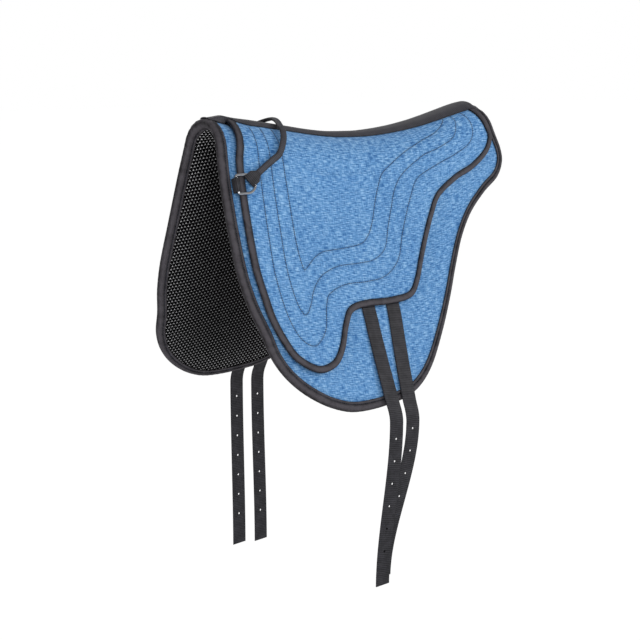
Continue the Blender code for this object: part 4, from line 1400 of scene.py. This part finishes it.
    def foam(self, side: Side) -> None:
        """Thin foam under the quilted top."""
        edge = self.curves(3)[0]
        along = np.linspace(edge[0, 0] + self.foam_inset, edge[-1, 0] - self.foam_inset, len(edge))
        feet = np.stack([along, np.zeros(len(edge))], axis=1)
        shares = np.linspace(0, 1, 12)[:, None, None]
        places = edge[None] * (1 - shares) + feet[None] * shares
        top = FORM.lay(places, STACK.seat_foam_high, side)
        bottom = FORM.lay(places, STACK.seat_foam_low, side)
        made = slab(f"{side.word}_seat_padding", top, bottom, places, FOAM)
        dress(made, "pad", "foam", f"{side.word}_seat_foam")

    def binding(self, side: Side) -> None:
        """Black tape rolled round the seat's edge, sewn with one row."""
        path = evenly(self.curves(self.detail)[0], TAPE_STEP, 2)
        half = self.tape_width / 2
        section = tape_section(half, half, STACK.seat_tape_low, STACK.seat_tape_high, STACK.tape,
                               self.tape_bulge)
        made = tape(f"{side.word}_seat_edge_binding", path, section, side, self.tape_pucker)
        dress(made, "pad", "binding", f"{side.word}_seat_binding")
        seam = inset(path, half - self.seam_margin)
        sew(f"{side.word}_seat_edge_stitching", seam, STACK.seat_tape_high + self.thread_rise, side)

    def stitching(self, side: Side) -> None:
        """The three quilting rows on the seat."""
        for word, line in zip(("outer", "middle", "inner"), self.curves(self.detail)[1:]):
            shown = line[line[:, 1] > self.strip_half - self.strip_lap]
            lift = STACK.quilt_edge - self.sink + self.quilting_rise
            sew(f"{side.word}_{word}_quilting", shown, lift, side, radius=self.quilting_thread)

    def build(self, side: Side) -> None:
        """Build every piece of one half of the seat."""
        self.foam(side)
        self.quilt(side)
        self.binding(side)
        self.stitching(side)


@dataclass
class SpineStrip:
    """Webbing sewn along the ridge, over the seam between the halves."""

    width: float = 0.048
    end_margin: float = 0.004
    ramp_share: float = 0.85
    station: float = 0.002
    hem_ease: float = 0.0005
    hem_rise: float = 0.00025
    base_tape: float = 0.016
    tape_step: float = 0.004
    seat_step: float = 0.005
    seat_ease: float = 0.0005
    rear_ease: float = 0.001
    front_taper: float = 0.045
    front_shares: tuple[float, float] = (0.45, 0.52)
    seam_margin: float = 0.0026
    columns: int = 33

    def build(self, base: BasePad, seat: SeatPanel) -> None:
        """Lay the strip over the base, up the seat's bound edges and along the seat."""
        start = base.edge()[0, 0] + self.end_margin
        end = base.edge()[-1, 0] - self.end_margin
        edge = seat.curves(seat.detail)[0]
        walls = [
            float(np.interp(self.width / 2, part[:, 1], part[:, 0]))
            for part in (edge[:5 * seat.detail], edge[:-5 * seat.detail:-1])
        ]
        clear = seat.tape_width / 2 + STACK.strip_clearance
        front, rear = walls[0] - clear, walls[1] + clear
        front_foot, rear_foot = (
            wall + (tip - wall) * self.ramp_share for wall, tip in ((front, start), (rear, end)))
        x = np.linspace(start, end, round((end - start) / self.station))
        high = (STACK.strip_on_base, STACK.strip_on_base, STACK.strip_on_seat)
        low = np.interp(x, (start, front_foot, front, rear, rear_foot, end), high + high[::-1])
        base_tape, seat_tape = start + self.base_tape, front + 2 * clear
        rear_tape = rear - 2 * clear
        cover = STACK.cover_high + self.hem_ease
        hem = (
            (base_tape, STACK.base_tape_high), (base_tape + self.tape_step, cover),
            (front + self.seat_ease, cover), (front + self.tape_step, STACK.seat_tape_high),
            (seat_tape, STACK.seat_tape_high), (seat_tape + self.seat_step, STACK.quilt_edge),
            (rear_tape - self.seat_step, STACK.quilt_edge), (rear_tape, STACK.seat_tape_high),
            (rear - self.rear_ease, STACK.seat_tape_high), (rear + self.tape_step, STACK.base_tape_high),
        )
        sewn = np.interp(x, *np.array(hem).T) + self.hem_rise
        narrow = np.interp(
            x, (start, front + self.tape_step, front + self.front_taper), (*self.front_shares, 1.0))
        reach, height = strap_section(self.width, STACK.strip, self.columns)
        middle = STACK.strip / 2
        droop = np.clip((np.abs(reach) / (self.width / 2) - 0.55) / 0.35, 0, 1)
        droop = droop * droop * (3 - 2 * droop)
        rings = np.stack([
            FORM.place(x, narrow * abs(r), low + (sewn - low) * d + middle + h,
                       Side.RIGHT if r > 0 else Side.LEFT)
            for r, h, d in zip(reach, height, droop)
        ], axis=1)
        made = sweep("spine_webbing", rings, WEBBING, reach, x - start)
        # Painted highlight: the strip is drawn paler along its middle and darker towards its edges.
        mark_points(made, "crown", np.tile(np.sqrt(1 - (np.abs(reach) / (self.width / 2)) ** 4), len(rings)))
        dress(made, "pad", "webbing", "spine_strip")
        seam = np.column_stack([x, narrow * self.width / 2 - self.seam_margin])
        for side in Side:
            sew(f"{side.word}_spine_stitching", seam, sewn + STACK.strip, side)


@dataclass
class ShoulderFitting:
    """Ring at one shoulder, the web that keeps it and the grab strap's loop."""

    side: Side
    drop: float = 0.1352
    edge_lead: float = 0.0141
    lift: float = 0.0283
    tilt: float = math.radians(8.0)
    wire: float = 0.005
    radius: float = 0.017
    reach: float = 0.018
    corner: float = 0.004
    keeper_width: float = 0.026
    keeper_web: float = 0.0015
    keeper_start: tuple = ((0.024, 0.0), (0.0144, 0.0), (0.008, 0.0006))
    keeper_end: tuple = ((-0.002, 0.0016), (0.004, -0.0001), (0.012, -0.0004))
    keeper_rib: float = 0.12
    wire_clearance: float = 0.0004
    loop_width: float = 0.025
    loop_reach: float = 0.0148
    loop_slack: float = 0.007
    loop_rib: float = 0.0026
    neck_length: float = 0.003
    neck_pinch: float = 0.0003
    fan_reach: float = 0.006
    fan_rise: float = 0.0008
    wrap_rise: float = 0.0001
    taper_end: float = 0.001
    bend_reach: float = 0.008
    neck_lap: float = 0.002
    strap_width: float = 0.012
    strap_thickness: float = 0.006
    loop_angle: float = math.radians(33.5)
    bar: Array = field(init=False)
    down: Array = field(init=False)
    rear: Array = field(init=False)
    out: Array = field(init=False)
    normal: Array = field(init=False)

    def __post_init__(self) -> None:
        """Work out the ring's frame from where the seat's edge lies."""
        seat_edge = SeatPanel().curves(1)[0]
        front = seat_edge[:8]
        x = float(np.interp(self.drop, front[:, 1], front[:, 0])) - self.edge_lead
        self.bar = FORM.place(x, self.drop, self.lift, self.side)
        self.normal = FORM.outward(x, self.drop, self.side)
        below = FORM.place(x, self.drop + MM, 0.0, self.side) - FORM.place(x, self.drop, 0.0, self.side)
        self.down = below / np.linalg.norm(below)
        along = np.array((1.0, 0.0, 0.0))
        self.rear = along * math.cos(self.tilt) + self.normal * math.sin(self.tilt)
        self.out = self.normal * math.cos(self.tilt) - along * math.sin(self.tilt)

    def on_loop(self, reach: Array, across: Array, height: Array) -> Array:
        """Points of the grab loop: reach from the ring's centre, across the web, and out."""
        reach, across, height = np.broadcast_arrays(*(np.asarray(v, float) for v in (reach, across, height)))
        centre = self.bar + self.rear * self.reach
        lead = self.rear * math.cos(self.loop_angle) - self.down * math.sin(self.loop_angle)
        sideways = self.rear * math.sin(self.loop_angle) + self.down * math.cos(self.loop_angle)
        return centre + lead * reach[..., None] + sideways * across[..., None] + self.out * height[..., None]

    def neck(self, extra: float) -> Array:
        """Middle of the grab loop's neck, some way beyond its end."""
        return self.on_loop(self.radius + self.loop_reach + extra, 0.0, 0.0)

    def matrix(self, across: Array, normal: Array) -> Matrix:
        """Frame at the bar: X rearwards, Y down the bar, Z outwards."""
        columns = [Vector(across), Vector(self.down), Vector(normal)]
        return Matrix.Translation(Vector(self.bar)) @ Matrix(columns).transposed().to_4x4()

    def ring(self) -> None:
        """Bend round wire into a D: a bar, two tight corners and a half circle."""
        deselect_all()
        flat = self.radius - self.corner
        bpy.ops.mesh.primitive_circle_add(
            vertices=20, radius=self.wire / 2, fill_type="NOTHING",
            location=(0, 0, 0), rotation=(math.pi / 2, 0, 0))
        made = bpy.context.object
        made.name = f"{self.side.word}_dee_ring"
        bpy.ops.object.transform_apply(location=True, rotation=True, scale=True)
        bpy.ops.object.mode_set(mode="EDIT")
        bpy.ops.mesh.select_all(action="SELECT")
        bpy.ops.transform.translate(value=(0, -flat, 0))

        def bend(centre: tuple[float, float], degrees: float, steps: int) -> None:
            bpy.ops.mesh.spin(steps=steps, angle=-math.radians(degrees), center=(*centre, 0), axis=(0, 0, 1))

        def draw(x: float, y: float) -> None:
            bpy.ops.mesh.extrude_region_move(TRANSFORM_OT_translate={"value": (x, y, 0)})

        bend((self.corner, -flat), 90, 8)
        draw(self.reach - self.corner, 0)
        bend((self.reach, 0), 180, 40)
        draw(self.corner - self.reach, 0)
        bend((self.corner, flat), 90, 8)
        draw(0, -2 * flat)
        bpy.ops.mesh.select_all(action="SELECT")
        bpy.ops.mesh.remove_doubles(threshold=WELD)
        bpy.ops.mesh.normals_make_consistent(inside=False)
        bpy.ops.object.mode_set(mode="OBJECT")
        made.data.transform(self.matrix(self.rear, self.out))
        if self.matrix(self.rear, self.out).determinant() < 0:
            made.data.flip_normals()
        made.data.materials.append(NICKEL.material())
        made.data.shade_smooth()
        dress(made, f"{self.side.word}_shoulder_ring", "ring_steel", f"{self.side.word}_ring")

    def keeper(self) -> None:
        """Fold a short web round the ring's bar and lay both tails on the pad."""
        hole = self.wire / 2 + self.wire_clearance
        middle = hole + self.keeper_web / 2
        foot = STACK.web_low - self.lift + STACK.web / 2
        turn = np.radians(np.linspace(-62, 242, 33))
        wrap = np.stack([middle * np.cos(turn), middle * np.sin(turn)], axis=1)
        tails = [np.add(tail, (0, foot)) for tail in (self.keeper_start, self.keeper_end)]
        route = np.concatenate([tails[0], wrap, tails[1]])
        route = evenly(smooth_path(route, [4] * (len(route) - 1)), STRAP_STEP, 2)
        along = np.array((1.0, 0.0, 0.0))
        path = self.bar + route[:, :1] * along + route[:, 1:] * self.normal
        step = np.gradient(route, axis=0)
        facing = step[:, 1:] * along - step[:, :1] * self.normal
        made = strap(f"{self.side.word}_keeper_web", path, facing, self.keeper_width, self.keeper_web,
                     WEBBING, rib=self.keeper_rib)
        dress(made, "pad", "webbing", f"{self.side.word}_ring_keeper")

    def loop(self) -> None:
        """Open the grab strap's end to a fan, its straight fold slack inside the ring's arc."""
        hole = self.wire / 2 + self.wire_clearance
        middle = hole + self.keeper_web / 2
        thick = (self.strap_thickness - self.keeper_web) / 2
        turn = np.radians(np.linspace(100, 260, 17))
        fold = self.radius - self.loop_slack
        wrap = np.stack([fold + middle * np.cos(turn), middle * np.sin(turn)], axis=1)
        end = self.radius + self.loop_reach
        upper = np.array([
            (end, thick - self.neck_pinch), (end - self.neck_length, thick),
            (self.radius + self.fan_reach, thick + self.fan_rise), (self.radius, middle + self.wrap_rise)])
        route = np.concatenate([upper, wrap, upper[::-1] * (1, -1)])
        route = evenly(smooth_path(route, [4] * (len(route) - 1)), STRAP_STEP, 2)
        taper = middle + self.keeper_web / 2
        fan = self.loop_reach - taper - self.taper_end
        share = np.clip((route[:, 0] - self.radius - taper) / fan, 0, 1)
        width = self.loop_width + (self.strap_width - self.loop_width) * share ** 0.85
        columns = np.sin(np.linspace(-math.pi / 2, math.pi / 2, 13))
        step = unit(np.gradient(route, axis=0))
        off = np.stack([step[:, 1], -step[:, 0]], axis=1) * self.keeper_web / 2
        ribbing = 1 + 0.14 * np.cos(2 * math.pi * np.arange(len(route)) * STRAP_STEP / self.loop_rib)
        rings = []
        for sign, order in ((1, columns), (-1, columns[-2:0:-1])):
            edge = np.sqrt(np.clip(1 - np.abs(order) ** 10, 0, 1))
            spot = route[:, None] + sign * off[:, None] * (edge[None] * ribbing[:, None])[..., None]
            rings.append(self.on_loop(spot[..., 0], order[None] * width[:, None] / 2, spot[..., 1]))
        rings = np.concatenate(rings, axis=1)
        reach = np.concatenate([columns, columns[-2:0:-1]]) * self.loop_width / 2
        along = np.arange(len(route)) * STRAP_STEP
        made = sweep(f"{self.side.word}_grab_loop_web", rings, WEBBING, reach, along)
        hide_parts(f"{self.side.word}_grab_loop")
        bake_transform(made)

    def build(self) -> None:
        """Build the ring, its keeper and the loop on it."""
        self.ring()
        self.keeper()
        self.loop()


@dataclass
class GrabStrap:
    """Folded and sewn webbing arched over the withers between both loops."""

    crest_x: float = 0.150
    crest_lift: float = 0.0362
    leg_lift: float = 0.0340
    neck_gap: float = 0.0001
    station: float = 0.0006
    rib: float = 0.0034
    rib_share: float = 0.05
    columns: int = 15
    route_shares: tuple = (
        (0.196, 0.805), (0.385, 0.695), (0.553, 0.587), (0.700, 0.470), (0.800, 0.366), (0.863, 0.259),
    )

    def build(self, fittings: dict[Side, ShoulderFitting]) -> None:
        """Arch the strap from neck to neck, with a row of stitches down its middle."""
        halves = []
        for side in Side:
            fitting = fittings[side]
            neck = fitting.neck(self.neck_gap)
            drop = fitting.drop - (fitting.radius + fitting.loop_reach) * math.sin(fitting.loop_angle)
            rows = [np.concatenate([neck, fitting.out]),
                    np.concatenate([fitting.neck(fitting.strap_thickness), fitting.out])]
            for x_share, climb_share in self.route_shares:
                x = neck[0] + (-self.crest_x - neck[0]) * x_share
                rows.append(np.concatenate([
                    FORM.place(x, drop * climb_share, self.leg_lift, side),
                    FORM.outward(x, drop * climb_share, side)]))
            halves.append(np.array(rows))
        crest = np.concatenate([FORM.place(-self.crest_x, 0.0, self.crest_lift, Side.RIGHT), (0, 0, 1)])
        knots = np.concatenate([halves[0], crest[None], halves[1][::-1]])
        steps = [10] * (len(knots) - 1)
        path = smooth_path(knots[:, :3], steps)
        share = np.concatenate([[0], np.cumsum(np.full(len(path) - 1, 0.1))])
        facing = np.stack(
            [np.interp(share, np.arange(len(knots)), column) for column in knots[:, 3:].T], axis=1)
        whole = evenly(np.concatenate([path, facing], axis=1), self.station, 3)
        fitting = fittings[Side.LEFT]
        made = strap("grab_strap_web", whole[:, :3], whole[:, 3:], fitting.strap_width,
                     fitting.strap_thickness, WEBBING, rib=self.rib_share, ribs_apart=self.rib,
                     columns=self.columns)
        reach, height = strap_section(fitting.strap_width, fitting.strap_thickness, self.columns)
        # Painted highlight: the strap's outer face is drawn paler along its middle and darker at its edges;
        # the face against the pad gets none.
        crown = np.clip(1 - np.abs(reach) / (fitting.strap_width / 2), 0, 1) ** 0.6 * (height >= 0)
        mark_points(made, "crown", np.tile(crown, len(whole)))
        dress(made, "grab_strap", "webbing", "grab_strap")
        tangent = unit(np.gradient(whole[:, :3], axis=0))
        up = unit(whole[:, 3:] - tangent * np.sum(whole[:, 3:] * tangent, axis=1, keepdims=True))
        line = whole[:, :3] + up * fitting.strap_thickness / 2
        row = stitch_row("grab_strap_stitching", line, up)
        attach(row, "grab_strap")


@dataclass
class GirthStraps:
    """Four girth straps: sewn under the seat, then hanging free with holes."""

    pad_length: float = 0.655
    width: float = 0.030
    root_drop: float = 0.160
    top: float = 0.004
    edge_lift: float = 0.0159
    hang_drop: float = 0.345
    bend: float = 0.050
    stack_gap: float = 0.0008
    hole_pitch: float = 0.040
    hole: float = 0.0040
    end_margin: float = 0.063
    tip_slant: float = 0.004
    tuck: float = 0.020
    split: float = 0.0476
    rib: float = 0.0028
    rib_share: float = 0.22
    slant_reach: float = 0.014
    easing: int = 51
    routes: tuple = (
        ("left_front", Side.LEFT, (-0.088, -0.107, -0.153), 0.291, True),
        ("left_rear", Side.LEFT, (-0.003, -0.048, -0.146), 0.275, False),
        ("right_front", Side.RIGHT, (-0.088, -0.085, -0.078), 0.331, False),
        ("right_rear", Side.RIGHT, (-0.006, -0.009, 0.0015), 0.331, False),
    )

    def anchored(self, name: str, side: Side, x: float) -> None:
        """Upper part of a strap, sewn under the seat from the spine down."""
        end = float(FORM.datum_drop(x)) + self.root_drop - self.tuck - STACK.gap
        drop = np.linspace(self.top, end, round((end - self.top) / self.rib))
        middle = (STACK.web_low + STACK.web_high) / 2
        path = FORM.place(np.full(len(drop), x), drop, middle, side)
        facing = FORM.outward(np.full(len(drop), x), drop, side)
        made = strap(f"{name}_sewn_web", path, facing, self.width, STACK.web, WEBBING)
        dress(made, "pad", "webbing", f"{name}_girth_web")

    def billet(self, name: str, side: Side, shares: Sequence[float], hang: float, over: bool) -> None:
        """Free part of a strap: from under the seat's binding down the flap, then hanging."""
        root_x, edge_x, tip_x = (share * self.pad_length for share in shares)
        edge_lift = self.edge_lift + (STACK.web + self.stack_gap if over else 0)
        length = self.hang_drop - self.root_drop
        share = np.linspace(-self.tuck / length, 1, 28)
        drop = self.root_drop + length * share
        climb = np.clip(share * 4 / 3, 0, 1)
        lift = STACK.web_low + (edge_lift - STACK.web_low) * climb
        datum = float(FORM.datum_drop(0.0))
        low = FORM.place(np.zeros(len(share)), datum + drop, lift, side)
        facing = FORM.outward(np.zeros(len(share)), datum + drop, side)
        low[:, 0] = root_x + (edge_x - root_x) * np.maximum(share, 0)
        root = FORM.place(0.0, datum + self.root_drop, STACK.web_low, side) * (0, 1, 1) + (root_x, 0, 0)
        start = math.asin(facing[-1, 2])
        middle = low[-1] - facing[-1] * self.bend
        turn = start * (1 - np.arange(1, 9) / 8)
        bent = np.stack([np.zeros(8), side.value * np.cos(turn), np.sin(turn)], axis=1)
        round_edge = middle + bent * self.bend
        round_edge[:, 0] = edge_x
        top = round_edge[-1]
        marks = np.linspace(0, 1, 60)[1:]
        hanging = top + np.stack([
            (tip_x - edge_x) * marks * marks * (3 - 2 * marks), 0 * marks, -hang * marks], axis=1)
        still = np.tile((0.0, float(side.value), 0.0), (len(hanging), 1))
        middles = np.concatenate([low, round_edge, hanging])
        facing = np.concatenate([facing, bent, still])
        knots = evenly(np.concatenate([middles + facing * STACK.web / 2, facing], axis=1), STRAP_STEP, 3)
        padded = np.pad(knots[:, 0], self.easing // 2, mode="edge")
        knots[:, 0] = np.convolve(padded, np.ones(self.easing) / self.easing, mode="valid")
        body = f"{name}_billet"
        parent, start, end = "pad", root, low[5]
        if over:
            # Split the strap in two: a top piece, sewn to the pad, and the rest, which the strap beneath
            # pushes outward.
            cut = round(self.split / STRAP_STEP)
            sewn = self.web(f"{name}_strap_top", knots[:cut + 1])
            parent = "left_rear_billet"
            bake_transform(sewn)
            knots, start, end = knots[cut:], knots[cut, :3], low[12]
        made = self.web(f"{name}_strap", knots)
        self.slant(made, knots[-1, 0], top[2] - hang)
        self.punch(made, knots, top[2], hang)
        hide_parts(body)
        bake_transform(made)

    def web(self, name: str, knots: Array) -> bpy.types.Object:
        """Weave a length of girth strap along rows of a place and a facing."""
        made = strap(name, knots[:, :3], knots[:, 3:], self.width, STACK.web, WEBBING, rib=self.rib_share,
                     ribs_apart=self.rib)
        return made

    def slant(self, piece: bpy.types.Object, tip_x: float, tip_z: float) -> None:
        """Cut the strap's end on a slant, its rear corner higher."""
        points = np.zeros(len(piece.data.vertices) * 3, np.float32)
        piece.data.vertices.foreach_get("co", points)
        points = points.reshape(-1, 3)
        near = np.clip(1 - (points[:, 2] - tip_z) / self.slant_reach, 0, 1)
        across = np.clip(0.5 + (points[:, 0] - tip_x) / self.width, 0, 1)
        points[:, 2] += self.tip_slant * near * across
        piece.data.vertices.foreach_set("co", points.ravel())

    def punch(self, piece: bpy.types.Object, route: Array, top: float, hang: float) -> None:
        """Cut the row of buckle holes along the strap's route."""
        steps = int((hang - self.end_margin - self.hole_pitch / 4) / self.hole_pitch)
        first = hang - self.end_margin - self.hole_pitch * steps
        deselect_all()
        punches = []
        for index in range(steps + 1):
            height = top - first - self.hole_pitch * index
            spot = [float(np.interp(-height, -route[:, 2], column)) for column in route[:, :2].T] + [height]
            bpy.ops.mesh.primitive_cylinder_add(
                vertices=20, radius=self.hole / 2, depth=6 * STACK.web,
                location=spot, rotation=(math.pi / 2, 0, 0))
            punches.append(bpy.context.object)
        for tool in punches:
            tool.select_set(True)
        bpy.context.view_layer.objects.active = punches[0]
        bpy.ops.object.join()
        tool = bpy.context.object
        cut = piece.modifiers.new("holes", "BOOLEAN")
        cut.operation = "DIFFERENCE"
        cut.object = tool
        deselect_all()
        piece.select_set(True)
        bpy.context.view_layer.objects.active = piece
        bpy.ops.object.modifier_apply(modifier=cut.name)
        bpy.data.objects.remove(tool)

    def build(self) -> None:
        """Build all four straps."""
        for name, side, shares, hang, over in self.routes:
            self.anchored(name, side, shares[0] * self.pad_length)
            self.billet(name, side, shares, hang, over)


@dataclass
class Studio:
    """Pale floor, soft lights and the camera at the photograph's angle."""

    azimuth: float = math.radians(-35.827)
    pitch: float = math.radians(7.770)
    eye: tuple[float, float, float] = (-2.1545, -2.9247, 0.1674)
    lens_mm: float = 109.11
    film_mm: float = 36.0
    floor_z: float = -0.86
    floor_width: float = 60.0
    floor_glow: float = 1.08
    glow_share: float = 0.88
    fill: float = 0.5
    aim: tuple[float, float, float] = (0, 0, -0.1)
    lamps: tuple = (
        ("key_light", (-1.5, -3.6, 0.9), 42.0, 1.3),
        ("side_light", (2.7, -2.5, 1.5), 48.0, 0.8),
        ("back_light", (0.6, 2.8, 2.2), 14.0, 2.0),
        ("front_light", (-2.4, -0.9, -0.6), 14.0, 0.8),
    )

    def camera(self) -> None:
        """Place the camera."""
        a, p = self.azimuth, self.pitch
        back = Vector((math.sin(a) * math.cos(p), -math.cos(a) * math.cos(p), math.sin(p)))
        right = Vector((math.cos(a), math.sin(a), 0))
        up = back.cross(right)
        data = bpy.data.cameras.new("camera")
        data.lens = self.lens_mm
        data.sensor_width = self.film_mm
        made = bpy.data.objects.new("camera", data)
        made.matrix_world = Matrix.Translation(self.eye) @ Matrix((right, up, back)).transposed().to_4x4()
        bpy.context.scene.collection.objects.link(made)
        bpy.context.scene.camera = made

    def floor(self) -> None:
        """Lay a wide white floor that keeps a faint shadow."""
        deselect_all()
        bpy.ops.mesh.primitive_plane_add(size=self.floor_width, location=(0, 0, self.floor_z))
        made = bpy.context.object
        made.name = "studio_floor"
        finish = bpy.data.materials.new("white_studio_paper")
        finish.use_nodes = True
        tree = finish.node_tree
        shader = tree.nodes["Principled BSDF"]
        shader.inputs["Base Color"].default_value = linear("f4f4f4")
        shader.inputs["Roughness"].default_value = 1.0
        seen = add_node(tree, "LightPath")
        glow = add_node(tree, "Emission", None, {"Strength": self.floor_glow})
        share = add_node(tree, "Math", {"operation": "MULTIPLY"}, {
            0: seen.outputs["Is Camera Ray"], 1: self.glow_share})
        mixed = add_node(tree, "MixShader", None, {
            0: share.outputs[0], 1: shader.outputs[0], 2: glow.outputs[0]})
        tree.links.new(mixed.outputs[0], tree.nodes["Material Output"].inputs["Surface"])
        made.data.materials.append(finish)
        made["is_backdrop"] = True

    def lights(self) -> None:
        """Light the pad softly from the front, the side and behind, before a white backdrop."""
        world = bpy.data.worlds.new("studio")
        world.use_nodes = True
        tree = world.node_tree
        fill = tree.nodes["Background"]
        fill.inputs["Color"].default_value = (1, 1, 1, 1)
        fill.inputs["Strength"].default_value = self.fill
        seen = add_node(tree, "LightPath")
        white = add_node(tree, "Background", None, {"Color": (1, 1, 1, 1), "Strength": 1.0})
        mixed = add_node(tree, "MixShader", None, {
            0: seen.outputs["Is Camera Ray"], 1: fill.outputs[0], 2: white.outputs[0]})
        tree.links.new(mixed.outputs[0], tree.nodes["World Output"].inputs["Surface"])
        bpy.context.scene.world = world
        for name, place, power, size in self.lamps:
            data = bpy.data.lights.new(name, "AREA")
            data.energy = power
            data.size = size
            lamp = bpy.data.objects.new(name, data)
            lamp.location = place
            lamp.rotation_mode = "QUATERNION"
            lamp.rotation_quaternion = (Vector(self.aim) - Vector(place)).to_track_quat("-Z", "Y")
            bpy.context.scene.collection.objects.link(lamp)

    def build(self) -> None:
        """Build the whole studio."""
        self.camera()
        self.floor()
        self.lights()
        bpy.context.scene.view_settings.view_transform = "Standard"


def main() -> None:
    """Build the scene, sub-assembly by sub-assembly."""
    logging.basicConfig(level=logging.INFO, format="%(name)s: %(message)s")
    Studio().build()
    base, seat = BasePad(), SeatPanel()
    fittings = {side: ShoulderFitting(side) for side in Side}
    for side in Side:
        base.build(side, seat.curves(seat.detail)[0])
        seat.build(side)
        fittings[side].build()
        LOG.info("%s half made", side.word)
    SpineStrip().build(base, seat)
    GrabStrap().build(fittings)
    GirthStraps().build()
    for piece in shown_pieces():
        LOG.info("%s: %d faces", piece.name, len(piece.data.polygons))


if __name__ == "__main__":
    main()
